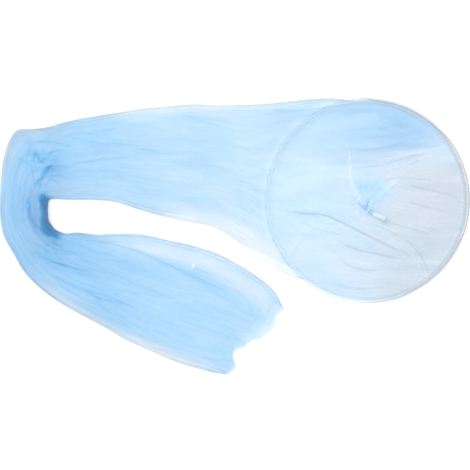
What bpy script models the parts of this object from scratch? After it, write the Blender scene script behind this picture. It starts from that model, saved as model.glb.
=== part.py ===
"""A bed canopy of sheer net on a round hoop, laid out flat on a floor and folded once.

The canopy is a tube of net, the skirt, sewn to a wire hoop, with a round crown of net
over the hoop. It lies on its side: the crown faces up, the skirt runs out to the left
from under the hoop, gathers into a bundle, turns back on itself and ends at its hem.
Metres, +Z up, the floor at z = 0. The origin is on the floor, under the middle.
"""

import math
from collections import namedtuple

import bmesh
import bpy
from mathutils import Vector

MM = 0.001

# Net and tape
NET_THICKNESS = 1.5 * MM
TAPE_THICKNESS = 0.8 * MM
TAPE_WIDTH = 6.0 * MM
SEAT_GAP = 0.3 * MM

# Hoop and the casing sewn round it
HOOP_DIAMETER = 600.0 * MM
HOOP_WIRE_RADIUS = 3.0 * MM
HOOP_STEPS = 48
HOOP_WIRE_SIDES = 8
HOOP_HEIGHT = 11.3 * MM
CASING_THICKNESS = 1.0 * MM
CASING_INNER_RADIUS = 3.6 * MM
CASING_OUTER_RADIUS = CASING_INNER_RADIUS + CASING_THICKNESS
CASING_SLIT = 0.5 * MM
CASING_FLAP_END = 282.5 * MM
CASING_ARC_STEPS = 8
HOOP_RADIUS = HOOP_DIAMETER / 2 - CASING_OUTER_RADIUS

# The skirt's route: each row is one line across the bundle, from its outer edge to its
# inner edge, in millimetres from the hoop's centre. The outer edge is on the outside
# of the turn.
Line = namedtuple("Line", "outer_x outer_y inner_x inner_y")
ROUTE = (
    Line(-374, 281, -374, -125),
    Line(-447, 281, -447, -81),
    Line(-521, 283, -521, -64),
    Line(-594, 276, -594, -49),
    Line(-668, 269, -668, -28),
    Line(-741, 257, -741, -5),
    Line(-815, 245, -809, 1),
    Line(-885, 231, -874, 1),
    Line(-938, 216, -912, 4),
    Line(-985, 210, -931, 2),
    Line(-1026, 207, -936, -5),
    Line(-1050, 178, -937, -16),
    Line(-1068, 122, -938, -28),
    Line(-1076, 60, -937, -40),
    Line(-1079, -5, -936, -52),
    Line(-1076, -69, -933, -62),
    Line(-1062, -116, -926, -72),
    Line(-1038, -158, -918, -83),
    Line(-1009, -208, -903, -91),
    Line(-968, -252, -882, -96),
    Line(-915, -293, -847, -94),
    Line(-850, -331, -794, -100),
    Line(-779, -369, -729, -97),
    Line(-706, -411, -659, -100),
    Line(-632, -444, -585, -116),
    Line(-562, -474, -509, -133),
    Line(-497, -494, -435, -158),
    Line(-450, -506, -362, -197),
    Line(-423, -510, -303, -238),
    Line(-414, -510, -271, -269),
    Line(-406, -508, -244, -319),
)

# The folds along the skirt's upper side, from the inner edge to the outer edge. Width is
# relative; crest and valley are shares of the bundle's height; lean is a share of the
# fold's width. Along the skirt the valleys fill and empty, so folds merge and part.
Pleat = namedtuple("Pleat", "width crest valley lean")
PLEATS = (
    Pleat(0.9, 0.88, 0.56, 0.15),
    Pleat(1.2, 0.94, 0.74, -0.10),
    Pleat(0.8, 1.00, 0.52, 0.18),
    Pleat(1.3, 0.90, 0.66, 0.08),
    Pleat(0.8, 1.00, 0.80, -0.15),
    Pleat(1.1, 0.97, 0.50, 0.12),
    Pleat(1.4, 0.90, 0.72, -0.12),
    Pleat(0.8, 1.00, 0.54, 0.15),
    Pleat(0.9, 0.86, 0.00, -0.10),
)
PLEAT_STEPS = (0.0, 0.18, 0.38, 0.62, 0.82)
PLEAT_SQUARENESS = 2.6
PLEAT_WAVER = 0.12
PLEAT_WAVER_PACE = 0.7
PLEAT_WAVER_SHIFT = 2.1
VALLEY_FILL = 0.8
VALLEY_WAVES = 0.42
VALLEY_SHIFT = 2.3
UNDER_STEPS = 14

# How the bundle packs: its section keeps this area, so it is taller where it is narrow
PACKED_AREA = 0.0104
OVER_LAYER = 3.4 * MM
EDGE_ROUNDING = 2.4
EDGE_RISE_POWER = 0.6
WANDER = 0.07
WANDER_PACE = 0.55
WANDER_SPREAD = 1.3
HEM_THINNING = 0.5
HEM_THINNING_ROWS = 7

# Where the skirt leaves the hoop: its outer edge at one angle, its inner edge at the other
OUTER_LEAVES_AT = math.radians(97)
INNER_LEAVES_AT = math.radians(232)
RUN_OUT_ROWS = 5
RUN_OUT_START_PULL = 0.35
RUN_OUT_END_PULL = 0.45
OUTER_BULGE = 19.0 * MM
UNDER_FOLD_RISE = 4.2 * MM
UNDER_FOLD_LENGTH = 0.8
UNDER_FOLD_EVERY = 3

# The skirt's first rows, from its seam under the casing's flap to just past the wire:
# radius and height of the middle of the net
SEAM_ROWS = ((284.5 * MM, 9.0 * MM), (288.5 * MM, 7.0 * MM), (295.4 * MM, 5.5 * MM))
PAST_WIRE_STEP = 9.0 * MM
PAST_WIRE_HEIGHT = 5.4 * MM
FOLDED_UNDER_STEP = 1.5 * MM
INWARD_LEAN = 0.2

# The hem's uneven edge: share across the bundle, from the outer edge at 1 to the inner
# edge at -1, and how far the hem reaches past a straight line there
HemReach = namedtuple("HemReach", "share reach")
HEM_EDGE = (
    HemReach(1.00, 0.0 * MM),
    HemReach(0.80, 4.0 * MM),
    HemReach(0.72, -8.0 * MM),
    HemReach(0.65, -26.0 * MM),
    HemReach(0.56, -31.0 * MM),
    HemReach(0.46, -27.0 * MM),
    HemReach(0.35, -15.0 * MM),
    HemReach(0.19, -17.0 * MM),
    HemReach(0.07, -10.0 * MM),
    HemReach(-0.07, 2.0 * MM),
    HemReach(-0.25, 6.0 * MM),
    HemReach(-0.48, 12.0 * MM),
    HemReach(-0.78, -3.0 * MM),
    HemReach(-1.00, 0.0 * MM),
)
HEM_ROWS = 3

# Crown: rings from the rim inwards, as radius and height of the middle of the net, then
# a neck where the net is gathered, which has flopped over
CROWN_SPOKES = 64
CROWN_RINGS = (
    (288.5 * MM, 13.6 * MM),
    (281.5 * MM, 13.4 * MM),
    (266.0 * MM, 11.9 * MM),
    (240.0 * MM, 10.6 * MM),
    (210.0 * MM, 10.0 * MM),
    (178.0 * MM, 10.0 * MM),
    (146.0 * MM, 10.2 * MM),
    (114.0 * MM, 10.8 * MM),
    (84.0 * MM, 11.8 * MM),
    (56.0 * MM, 13.2 * MM),
    (36.0 * MM, 15.5 * MM),
)
CROWN_LOOSE_RINGS = (2, 9)
CROWN_GATHERS = 11
CROWN_GATHER_RISE = 2.2 * MM
CROWN_GATHER_DRIFT = 0.6

# The crown's soft folds: middle, direction, length, half width and rise
CrownFold = namedtuple("CrownFold", "x y turn length width rise")
CROWN_FOLDS = (
    CrownFold(70, 168, 6, 330, 20, 9.0),
    CrownFold(20, 232, -4, 250, 18, 7.0),
    CrownFold(150, 70, -4, 190, 17, 6.0),
    CrownFold(-150, 88, 2, 200, 18, 5.0),
    CrownFold(-95, -34, -14, 240, 16, 6.0),
    CrownFold(110, -110, -25, 220, 18, 8.0),
    CrownFold(-30, -150, -18, 230, 20, 6.5),
    CrownFold(60, -222, 6, 210, 18, 5.5),
)

Bend = namedtuple("Bend", "x y z radius")
NECK = (
    Bend(-12, 4, 19.5, 22.0),
    Bend(-11, -10, 27.0, 12.0),
    Bend(-5, -24, 30.5, 7.0),
    Bend(6, -33, 30.0, 6.0),
    Bend(14, -38, 28.5, 6.6),
)
NECK_MIDDLE = Vector((-8.0 * MM, -2.0 * MM, 0.0))
NECK_START_DIRECTION = Vector((0.0, -0.25, 1.0))
NECK_TIP_REACH = 1.2

# Binding tied round the neck, and the ribbon loop that hangs the canopy
BINDING_FROM = 2
BINDING_TO = 3
BINDING_SHARES = (0.25, 0.85)
BINDING_THICKNESS = 1.4 * MM
BINDING_SIDES = 16
LOOP_WIDTH = 10.0 * MM
LOOP_THICKNESS = 1.0 * MM
LOOP_LENGTH = 40.0 * MM
LOOP_RADIUS = 5.0 * MM
LOOP_HEADING = math.radians(-24)
LOOP_FALL = 8.0 * MM
LOOP_ROOT_GAP = 1.3 * MM
LOOP_OPENING_PACE = 1.5
LOOP_RUN_STEPS = 5
LOOP_BEND_STEPS = 8

# Support tapes under the crown, each from the middle to the casing
TAPE_HUB = Vector((-3.0 * MM, -16.0 * MM, 0.0))
TAPE_HUB_RADIUS = 3.4 * MM
TAPE_LEVEL = 7.7 * MM
TAPE_RIM_HEIGHT = 10.55 * MM
TAPE_RISE_LENGTH = 38.0 * MM
TAPE_END_RADIUS = CASING_FLAP_END * math.cos(math.pi / HOOP_STEPS) - SEAT_GAP
TAPE_STEPS = 16
TAPE_ROUTES = {
    "support_tape_right": ((30, 10), (100, 69), (150, 108), (205, 140)),
    "support_tape_top": ((-32, 22), (-47, 60), (-50, 112), (-58, 158), (-100, 202)),
    "support_tape_left": ((-46, -44), (-118, -66), (-180, -96)),
    "support_tape_bottom": ((34, -64), (90, -115), (140, -160)),
}
TAPE_RIM_ANGLES = {
    "support_tape_right": math.radians(34),
    "support_tape_top": math.radians(121),
    "support_tape_left": math.radians(214),
    "support_tape_bottom": math.radians(308),
}

# The small pale dot sewn to the lower leg
DOT_LINE = 25.1
DOT_SHARE = -0.66
DOT_RADIUS = 6.0 * MM
DOT_HEIGHT = 2.4 * MM
DOT_TOP_SHARE = 0.62
DOT_SIDES = 16

CURVE_STEPS = 12
MERGE_DISTANCE = 0.01 * MM
SMOOTH_ANGLE = math.radians(50)

NET_BLUE = (0.42, 0.70, 0.93, 1.0)
CROWN_BLUE = (0.62, 0.80, 0.94, 1.0)
CASING_BLUE = (0.55, 0.76, 0.92, 1.0)
TAPE_WHITE = (0.86, 0.92, 0.97, 1.0)
WIRE_GREY = (0.55, 0.54, 0.52, 1.0)


def clear_scene():
    for obj in list(bpy.data.objects):
        bpy.data.objects.remove(obj, do_unlink=True)


def make_collection(name):
    collection = bpy.data.collections.new(name)
    bpy.context.scene.collection.children.link(collection)
    return collection


def make_material(name, colour, roughness, metallic=0.0):
    material = bpy.data.materials.new(name)
    material.use_nodes = True
    shader = material.node_tree.nodes["Principled BSDF"]
    shader.inputs["Base Color"].default_value = colour
    shader.inputs["Roughness"].default_value = roughness
    shader.inputs["Metallic"].default_value = metallic
    return material


def add_object(name, bm, collection, material, smooth_angle=None):
    mesh = bpy.data.meshes.new(name)
    bm.to_mesh(mesh)
    bm.free()
    if smooth_angle is not None:
        mesh.shade_smooth()
        mesh.set_sharp_from_angle(angle=smooth_angle)
    obj = bpy.data.objects.new(name, mesh)
    obj.data.materials.append(material)
    collection.objects.link(obj)
    return obj


def add_wall(obj, thickness):
    """Gives an open sheet its thickness, half on each side."""
    wall = obj.modifiers.new("wall", "SOLIDIFY")
    wall.thickness = thickness
    wall.offset = 0.0
    return wall


def smooth_step(t):
    t = min(max(t, 0.0), 1.0)
    return t * t * (3.0 - 2.0 * t)


def through(points, t):
    """A point at t on the smooth curve through the points, which are one unit of t apart."""
    last = len(points) - 1
    t = min(max(t, 0.0), float(last))
    i = min(int(t), last - 1)
    f = t - i
    a = points[max(i - 1, 0)]
    b, c = points[i], points[i + 1]
    d = points[min(i + 2, last)]
    slope_b, slope_c = (c - a) * 0.5, (d - b) * 0.5
    return (
        b * (2 * f**3 - 3 * f**2 + 1)
        + slope_b * (f**3 - 2 * f**2 + f)
        + c * (3 * f**2 - 2 * f**3)
        + slope_c * (f**3 - f**2)
    )


def evenly(points, steps):
    """Places at even lengths along the smooth curve through the points."""
    fine = CURVE_STEPS * (len(points) - 1)
    places = [through(points, i / CURVE_STEPS) for i in range(fine + 1)]
    lengths = [0.0]
    for a, b in zip(places, places[1:]):
        lengths.append(lengths[-1] + (b - a).length)
    even, i = [places[0]], 0
    for step in range(1, steps):
        wanted = lengths[-1] * step / steps
        while lengths[i + 1] < wanted:
            i += 1
        part = (wanted - lengths[i]) / (lengths[i + 1] - lengths[i])
        even.append(places[i].lerp(places[i + 1], part))
    return even + [places[-1]]


def in_table(rows, share):
    """Reads the hem table: the reach at a share across the bundle."""
    for right, left in zip(rows, rows[1:]):
        if left.share <= share <= right.share:
            part = (share - left.share) / (right.share - left.share)
            return left.reach + (right.reach - left.reach) * smooth_step(part)
    return 0.0


OUTER_EDGE = [Vector((line.outer_x, line.outer_y, 0.0)) * MM for line in ROUTE]
INNER_EDGE = [Vector((line.inner_x, line.inner_y, 0.0)) * MM for line in ROUTE]

# One point round the skirt's tube: its share across the bundle, its fold and how far it
# is through that fold, and whether it is over (1), at an edge (0.5) or under (0)
Around = namedtuple("Around", "share fold through over")


def around_the_skirt():
    """The points of one turn round the tube: up over the folds and back along the floor."""
    points = []
    total = sum(pleat.width for pleat in PLEATS)
    start = -1.0
    for fold, pleat in enumerate(PLEATS):
        width = 2.0 * pleat.width / total
        for t in PLEAT_STEPS:
            over = 0.5 if fold == 0 and t == 0.0 else 1.0
            points.append(Around(start + width * t, fold, t, over))
        start += width
    points.append(Around(1.0, len(PLEATS) - 1, 1.0, 0.5))
    for step in range(1, UNDER_STEPS + 1):
        share = 1.0 - 2.0 * step / (UNDER_STEPS + 1)
        points.append(Around(share, step, 0.0, 0.0))
    return points


AROUND = around_the_skirt()


def bundle_height(at):
    """The bundle's height at a place along its route, from its width there."""
    width = (through(OUTER_EDGE, at) - through(INNER_EDGE, at)).length
    rows_left = len(ROUTE) - 1 - at
    thinning = HEM_THINNING * smooth_step(1.0 - rows_left / HEM_THINNING_ROWS)
    return PACKED_AREA / width * (1.0 - thinning)


def valley_height(fold, at):
    """The height of the valley after a fold, as a share of the bundle's height."""
    if fold < 0 or fold == len(PLEATS) - 1:
        return 0.0
    pleat = PLEATS[fold]
    filled = VALLEY_FILL * smooth_step(math.sin(VALLEY_WAVES * at + VALLEY_SHIFT * fold))
    return pleat.valley + (pleat.crest - pleat.valley) * filled


def fold_rise(point, at):
    """How high the net is at a point of a fold, as a share of the bundle's height."""
    crest = PLEATS[point.fold].crest
    before, after = valley_height(point.fold - 1, at), valley_height(point.fold, at)
    foot = before + (after - before) * smooth_step(point.through)
    rise = foot + (crest - foot) * (1.0 - abs(2.0 * point.through - 1.0) ** PLEAT_SQUARENESS)
    waver = math.sin(PLEAT_WAVER_PACE * at + PLEAT_WAVER_SHIFT * point.fold)
    return rise * (1.0 + PLEAT_WAVER * waver)


def bundle_point(at, point):
    """The middle of the net at a place along the route, for one point round the tube."""
    outer, inner = through(OUTER_EDGE, at), through(INNER_EDGE, at)
    share = point.share
    if point.over == 1.0:
        pleat = PLEATS[point.fold]
        width = 2.0 * pleat.width / sum(other.width for other in PLEATS)
        share += pleat.lean * width * math.sin(math.pi * point.through)
        drift = math.sin(WANDER_PACE * at + WANDER_SPREAD * point.share)
        share += WANDER * (1.0 - point.share**2) * drift
    place = inner + (outer - inner) * ((share + 1.0) / 2.0)
    if point.over == 0.0:
        place.z = NET_THICKNESS / 2
    elif point.over == 0.5:
        place.z = (NET_THICKNESS / 2 + OVER_LAYER) / 2
    else:
        dome = (1.0 - abs(share) ** EDGE_ROUNDING) ** EDGE_RISE_POWER
        place.z = OVER_LAYER + (bundle_height(at) - OVER_LAYER) * dome * fold_rise(point, at)
    return place


def hem_shift(at, point):
    """How far the hem's uneven edge moves a point of the last rows along the skirt."""
    last = len(ROUTE) - 1
    near = smooth_step((at - (last - HEM_ROWS)) / HEM_ROWS)
    if near == 0.0:
        return Vector()
    across = OUTER_EDGE[last] - INNER_EDGE[last]
    onward = Vector((-across.y, across.x, 0.0)).normalized()
    return onward * (in_table(HEM_EDGE, point.share) * near)


def hoop_angle(point):
    """Where on the hoop a point round the tube is sewn."""
    part = (1.0 - point.share) / 2.0
    if point.over > 0.0:
        return OUTER_LEAVES_AT + part * (INNER_LEAVES_AT - OUTER_LEAVES_AT)
    return OUTER_LEAVES_AT - part * (2.0 * math.pi - (INNER_LEAVES_AT - OUTER_LEAVES_AT))


def past_wire_point(point):
    """The first point past the wire: outwards for the upper side, folded under for the lower."""
    angle = hoop_angle(point)
    radius = SEAM_ROWS[-1][0] - FOLDED_UNDER_STEP * (1.0 - point.over)
    place = Vector((math.cos(angle), math.sin(angle), 0.0)) * radius
    low, high = NET_THICKNESS / 2, PAST_WIRE_HEIGHT
    place.z = low + (high - low) * point.over
    place.x -= PAST_WIRE_STEP * point.over
    return place


def leaving_direction(point):
    """Leftwards, but for the lower side kept inside the hoop's circle."""
    direction = Vector((-1.0, 0.0, 0.0))
    if point.over == 0.0:
        angle = hoop_angle(point)
        outwards = Vector((math.cos(angle), math.sin(angle), 0.0))
        excess = direction.dot(outwards) + INWARD_LEAN
        direction -= outwards * max(excess, 0.0)
    return direction.normalized()


def run_out_point(t, point):
    """A point between the hoop and the bundle's first line, at share t of the way."""
    start, end = past_wire_point(point), bundle_point(0.0, point)
    onward = bundle_point(1.0, point) - end
    onward.z = 0.0
    onward.normalize()
    reach = abs(end.x - start.x)
    bulge = OUTER_BULGE * max(point.share, 0.0) ** 4
    first = start + leaving_direction(point) * (RUN_OUT_START_PULL * reach)
    first.y += bulge
    second = end - onward * (RUN_OUT_END_PULL * reach)
    u = 1.0 - t
    place = start * u**3 + first * (3 * u * u * t) + second * (3 * u * t * t) + end * t**3
    place.z = start.z + (end.z - start.z) * smooth_step(t)
    if point.over == 0.0:
        place.z = NET_THICKNESS / 2
        if point.fold % UNDER_FOLD_EVERY == 0:
            through_fold = min(t / UNDER_FOLD_LENGTH, 1.0)
            place.z += UNDER_FOLD_RISE * math.sin(math.pi * through_fold) ** 2
    return place


def skirt_point(row, point):
    """The skirt's net at one row, counted from its seam at the hoop to its hem."""
    if row < len(SEAM_ROWS):
        radius, height = SEAM_ROWS[row]
        angle = hoop_angle(point)
        return Vector((math.cos(angle) * radius, math.sin(angle) * radius, height))
    row -= len(SEAM_ROWS)
    if row == 0:
        return past_wire_point(point)
    if row <= RUN_OUT_ROWS:
        return run_out_point(row / (RUN_OUT_ROWS + 1), point)
    at = row - RUN_OUT_ROWS - 1
    return bundle_point(at, point) + hem_shift(at, point)


def make_skirt(collection, material):
    """The tube of net: a grid of rows along it and points round it, closed at its seam."""
    rows = len(SEAM_ROWS) + 1 + RUN_OUT_ROWS + len(ROUTE)
    columns = len(AROUND)
    bm = bmesh.new()
    bmesh.ops.create_grid(bm, x_segments=columns, y_segments=rows - 1, size=1.0)
    for vert in bm.verts:
        column = round((vert.co.x + 1.0) / 2.0 * columns) % columns
        row = round((vert.co.y + 1.0) / 2.0 * (rows - 1))
        vert.co = skirt_point(row, AROUND[column])
    bmesh.ops.remove_doubles(bm, verts=bm.verts, dist=MERGE_DISTANCE)
    obj = add_object("skirt", bm, collection, material, smooth_angle=SMOOTH_ANGLE)
    add_wall(obj, NET_THICKNESS)
    return obj


def crown_rise(x, y):
    """The soft folds' height at a place on the crown."""
    rise = 0.0
    for fold in CROWN_FOLDS:
        turn = math.radians(fold.turn)
        dx, dy = x - fold.x * MM, y - fold.y * MM
        along = dx * math.cos(turn) + dy * math.sin(turn)
        across = -dx * math.sin(turn) + dy * math.cos(turn)
        ends = max(0.0, 1.0 - (2.0 * along / (fold.length * MM)) ** 2)
        rise += fold.rise * MM * ends * math.exp(-((across / (fold.width * MM)) ** 2))
    return rise


NECK_LINE = [Vector((bend.x, bend.y, bend.z)) * MM for bend in NECK]


def crown_point(ring, spoke):
    """The crown's net, from ring 0 at the rim to the rings of the neck."""
    angle = 2.0 * math.pi * spoke / CROWN_SPOKES
    flat = Vector((math.cos(angle), math.sin(angle), 0.0))
    if ring < len(CROWN_RINGS):
        radius, height = CROWN_RINGS[ring]
        inwards = smooth_step(1.0 - radius / CROWN_RINGS[1][0])
        place = flat * radius + NECK_MIDDLE * inwards
        drift = CROWN_GATHER_DRIFT * math.sin(3.0 * angle)
        gather = 0.5 + 0.5 * math.cos(CROWN_GATHERS * angle + drift)
        loose = CROWN_LOOSE_RINGS[0] <= ring <= CROWN_LOOSE_RINGS[1]
        place.z = height + inwards * CROWN_GATHER_RISE * gather
        place.z += crown_rise(place.x, place.y) * loose
        return place
    return neck_point(ring - len(CROWN_RINGS), angle)


def neck_frame(bend):
    """The neck's centre line at a bend and two directions across it."""
    ahead = NECK_LINE[min(bend + 1, len(NECK_LINE) - 1)]
    behind = NECK_LINE[max(bend - 1, 0)]
    onward = (ahead - behind).normalized()
    if bend == 0:
        onward = NECK_START_DIRECTION.normalized()
    side = Vector((1.0, 0.0, 0.0))
    side = (side - onward * side.dot(onward)).normalized()
    return NECK_LINE[bend], side, onward.cross(side)


def neck_point(bend, angle):
    centre, side, up = neck_frame(bend)
    radius = NECK[bend].radius * MM
    return centre + (side * math.cos(angle) + up * math.sin(angle)) * radius


def make_crown(collection, material):
    """The round crown: a grid of rings and spokes, closed at its seam and at the neck's tip."""
    rings = len(CROWN_RINGS) + len(NECK)
    bm = bmesh.new()
    bmesh.ops.create_grid(bm, x_segments=CROWN_SPOKES, y_segments=rings - 1, size=1.0)
    for vert in bm.verts:
        spoke = round((vert.co.x + 1.0) / 2.0 * CROWN_SPOKES) % CROWN_SPOKES
        ring = round((vert.co.y + 1.0) / 2.0 * (rings - 1))
        vert.co = crown_point(ring, spoke)
    bmesh.ops.remove_doubles(bm, verts=bm.verts, dist=MERGE_DISTANCE)
    tip = NECK_LINE[-1]
    reach = NECK[-1].radius * MM * NECK_TIP_REACH
    rim = [e for e in bm.edges if e.is_boundary and (e.verts[0].co - tip).length < reach]
    bmesh.ops.contextual_create(bm, geom=rim)
    obj = add_object("crown", bm, collection, material, smooth_angle=SMOOTH_ANGLE)
    add_wall(obj, NET_THICKNESS)
    return obj


def make_hoop(collection, material):
    bpy.ops.mesh.primitive_torus_add(
        major_radius=HOOP_RADIUS,
        minor_radius=HOOP_WIRE_RADIUS,
        major_segments=HOOP_STEPS,
        minor_segments=HOOP_WIRE_SIDES,
        location=(0.0, 0.0, HOOP_HEIGHT),
    )
    obj = bpy.context.active_object
    obj.name = "hoop"
    obj.data.materials.append(material)
    obj.data.shade_smooth()
    for other in list(obj.users_collection):
        other.objects.unlink(obj)
    collection.objects.link(obj)
    return obj


def casing_profile():
    """Half a turn-round section: the tape goes round the wire and its two flaps lie together."""
    half_slit = CASING_SLIT / 2
    half_flap = half_slit + CASING_THICKNESS
    outer_start = math.pi - math.asin(half_flap / CASING_OUTER_RADIUS)
    inner_start = math.pi - math.asin(half_slit / CASING_INNER_RADIUS)
    points = [(CASING_FLAP_END - HOOP_RADIUS, half_flap)]
    for step in range(CASING_ARC_STEPS + 1):
        angle = outer_start - 2.0 * outer_start * step / CASING_ARC_STEPS
        points.append((CASING_OUTER_RADIUS * math.cos(angle), CASING_OUTER_RADIUS * math.sin(angle)))
    points.append((CASING_FLAP_END - HOOP_RADIUS, -half_flap))
    points.append((CASING_FLAP_END - HOOP_RADIUS, -half_slit))
    for step in range(CASING_ARC_STEPS + 1):
        angle = -inner_start + 2.0 * inner_start * step / CASING_ARC_STEPS
        points.append((CASING_INNER_RADIUS * math.cos(angle), CASING_INNER_RADIUS * math.sin(angle)))
    points.append((CASING_FLAP_END - HOOP_RADIUS, half_slit))
    return points


def make_casing(collection, material):
    """The tape round the hoop, turned from its section."""
    bm = bmesh.new()
    verts = [bm.verts.new((HOOP_RADIUS + x, 0.0, z)) for x, z in casing_profile()]
    for a, b in zip(verts, verts[1:] + verts[:1]):
        bm.edges.new((a, b))
    obj = add_object("hoop_casing", bm, collection, material)
    obj.location.z = HOOP_HEIGHT
    turn = obj.modifiers.new("turn", "SCREW")
    turn.steps = HOOP_STEPS
    turn.render_steps = HOOP_STEPS
    turn.use_merge_vertices = True
    turn.merge_threshold = MERGE_DISTANCE
    turn.use_normal_calculate = True
    return obj


def strip(name, left, right, thickness, collection, material):
    """A tape: two rows of points, its left and right edge, given a thickness."""
    steps = len(left) - 1
    bm = bmesh.new()
    bmesh.ops.create_grid(bm, x_segments=steps, y_segments=1, size=1.0)
    for vert in bm.verts:
        step = round((vert.co.x + 1.0) / 2.0 * steps)
        vert.co = left[step] if vert.co.y > 0.0 else right[step]
    obj = add_object(name, bm, collection, material)
    add_wall(obj, thickness)
    return obj


def make_support_tape(name, collection, material):
    """One tape from the middle of the crown to the casing's flap, lying loose."""
    rim = TAPE_RIM_ANGLES[name]
    outwards = Vector((math.cos(rim), math.sin(rim), 0.0))
    end = outwards * TAPE_END_RADIUS
    start = TAPE_HUB + outwards * TAPE_HUB_RADIUS
    out_of_hub = TAPE_HUB + outwards * (TAPE_HUB_RADIUS + 2.0 * TAPE_WIDTH)
    into_rim = end - outwards * (2.0 * TAPE_WIDTH)
    route = [start, out_of_hub]
    route += [Vector((x, y, 0.0)) * MM for x, y in TAPE_ROUTES[name]]
    route += [into_rim, end]
    places = evenly(route, TAPE_STEPS)
    left, right = [], []
    for step, place in enumerate(places):
        ends = step in (0, TAPE_STEPS)
        onward = outwards if ends else (places[step + 1] - places[step - 1]).normalized()
        side = Vector((-onward.y, onward.x, 0.0)) * (TAPE_WIDTH / 2)
        place = place.copy()
        near_rim = smooth_step(1.0 - (end - place).length / TAPE_RISE_LENGTH)
        place.z = TAPE_LEVEL + (TAPE_RIM_HEIGHT - TAPE_LEVEL) * near_rim
        left.append(place + side)
        right.append(place - side)
    return strip(name, left, right, TAPE_THICKNESS, collection, material)


def make_binding(collection, material):
    """The band tied round the neck: a short tube that follows the neck's taper."""
    bm = bmesh.new()
    bmesh.ops.create_grid(bm, x_segments=BINDING_SIDES, y_segments=1, size=1.0)
    centre_a, side_a, up_a = neck_frame(BINDING_FROM)
    centre_b, side_b, up_b = neck_frame(BINDING_TO)
    clear = NET_THICKNESS / 2 + SEAT_GAP + BINDING_THICKNESS / 2
    widest = max(NECK[BINDING_FROM].radius, NECK[BINDING_TO].radius) * MM
    for vert in bm.verts:
        angle = (vert.co.x + 1.0) * math.pi
        share = BINDING_SHARES[0] if vert.co.y < 0.0 else BINDING_SHARES[1]
        centre = centre_a.lerp(centre_b, share)
        side, up = side_a.lerp(side_b, share), up_a.lerp(up_b, share)
        vert.co = centre + (side * math.cos(angle) + up * math.sin(angle)) * (widest + clear)
    bmesh.ops.remove_doubles(bm, verts=bm.verts, dist=MERGE_DISTANCE)
    obj = add_object("crown_binding", bm, collection, material)
    add_wall(obj, BINDING_THICKNESS)
    return obj


def loop_line():
    """The ribbon's line from the neck's tip: down, round the loop's far end and back."""
    onward = Vector((math.cos(LOOP_HEADING), math.sin(LOOP_HEADING), 0.0))
    tip = NECK_LINE[-1]
    root = tip + onward * (NET_THICKNESS / 2 + SEAT_GAP + LOOP_THICKNESS)
    far = root + onward * (LOOP_LENGTH - LOOP_RADIUS) - Vector((0.0, 0.0, LOOP_FALL))
    up = Vector((0.0, 0.0, 1.0))
    upper, lower = [], []
    for step in range(LOOP_RUN_STEPS):
        share = step / LOOP_RUN_STEPS
        opened = smooth_step(share * LOOP_OPENING_PACE)
        spread = LOOP_ROOT_GAP / 2 + (LOOP_RADIUS - LOOP_ROOT_GAP / 2) * opened
        upper.append(root.lerp(far, share) + up * spread)
        lower.append(root.lerp(far, share) - up * spread)
    bend = []
    for step in range(LOOP_BEND_STEPS + 1):
        angle = math.pi / 2 - math.pi * step / LOOP_BEND_STEPS
        turned = onward * math.cos(angle) + up * math.sin(angle)
        bend.append(far + turned * LOOP_RADIUS)
    points = upper + bend + lower[::-1]
    return points, Vector((-onward.y, onward.x, 0.0))


def make_hanging_loop(collection, material):
    line, side = loop_line()
    left = [point + side * (LOOP_WIDTH / 2) for point in line]
    right = [point - side * (LOOP_WIDTH / 2) for point in line]
    return strip("hanging_loop", left, right, LOOP_THICKNESS, collection, material)


def make_dot(collection, material):
    """The pale dot: a low dome on the crest of a fold."""
    outer, inner = through(OUTER_EDGE, DOT_LINE), through(INNER_EDGE, DOT_LINE)
    place = inner + (outer - inner) * ((DOT_SHARE + 1.0) / 2.0)
    over = [bundle_point(DOT_LINE, point) for point in AROUND if point.over == 1.0]
    over.sort(key=lambda spot: (spot.xy - place.xy).length)
    top = max(spot.z for spot in over[:2])
    bm = bmesh.new()
    bmesh.ops.create_cone(
        bm,
        cap_ends=True,
        segments=DOT_SIDES,
        radius1=DOT_RADIUS,
        radius2=DOT_RADIUS * DOT_TOP_SHARE,
        depth=DOT_HEIGHT,
    )
    obj = add_object("sewn_dot", bm, collection, material)
    obj.location = place
    obj.location.z = top + NET_THICKNESS / 2 + SEAT_GAP + DOT_HEIGHT / 2
    return obj


def centre_on_floor(objects):
    """Moves everything so that the origin is on the floor under the middle of the whole."""
    bpy.context.view_layer.update()
    graph = bpy.context.evaluated_depsgraph_get()
    corners = []
    for obj in objects:
        seen = obj.evaluated_get(graph)
        corners += [seen.matrix_world @ Vector(corner) for corner in seen.bound_box]
    low = [min(c[i] for c in corners) for i in range(3)]
    high = [max(c[i] for c in corners) for i in range(3)]
    for obj in objects:
        obj.location.x -= (low[0] + high[0]) / 2.0
        obj.location.y -= (low[1] + high[1]) / 2.0
        obj.location.z -= low[2]


def main():
    clear_scene()
    collection = make_collection("bed_canopy")
    net = make_material("net_blue", NET_BLUE, 0.85)
    crown_net = make_material("crown_net", CROWN_BLUE, 0.85)
    casing_tape = make_material("casing_tape", CASING_BLUE, 0.7)
    white_tape = make_material("white_tape", TAPE_WHITE, 0.6)
    wire = make_material("hoop_wire", WIRE_GREY, 0.35, metallic=0.9)
    objects = [
        make_skirt(collection, net),
        make_crown(collection, crown_net),
        make_hoop(collection, wire),
        make_casing(collection, casing_tape),
        make_binding(collection, white_tape),
        make_hanging_loop(collection, white_tape),
        make_dot(collection, white_tape),
    ]
    objects += [make_support_tape(name, collection, white_tape) for name in TAPE_ROUTES]
    centre_on_floor(objects)


main()
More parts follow.
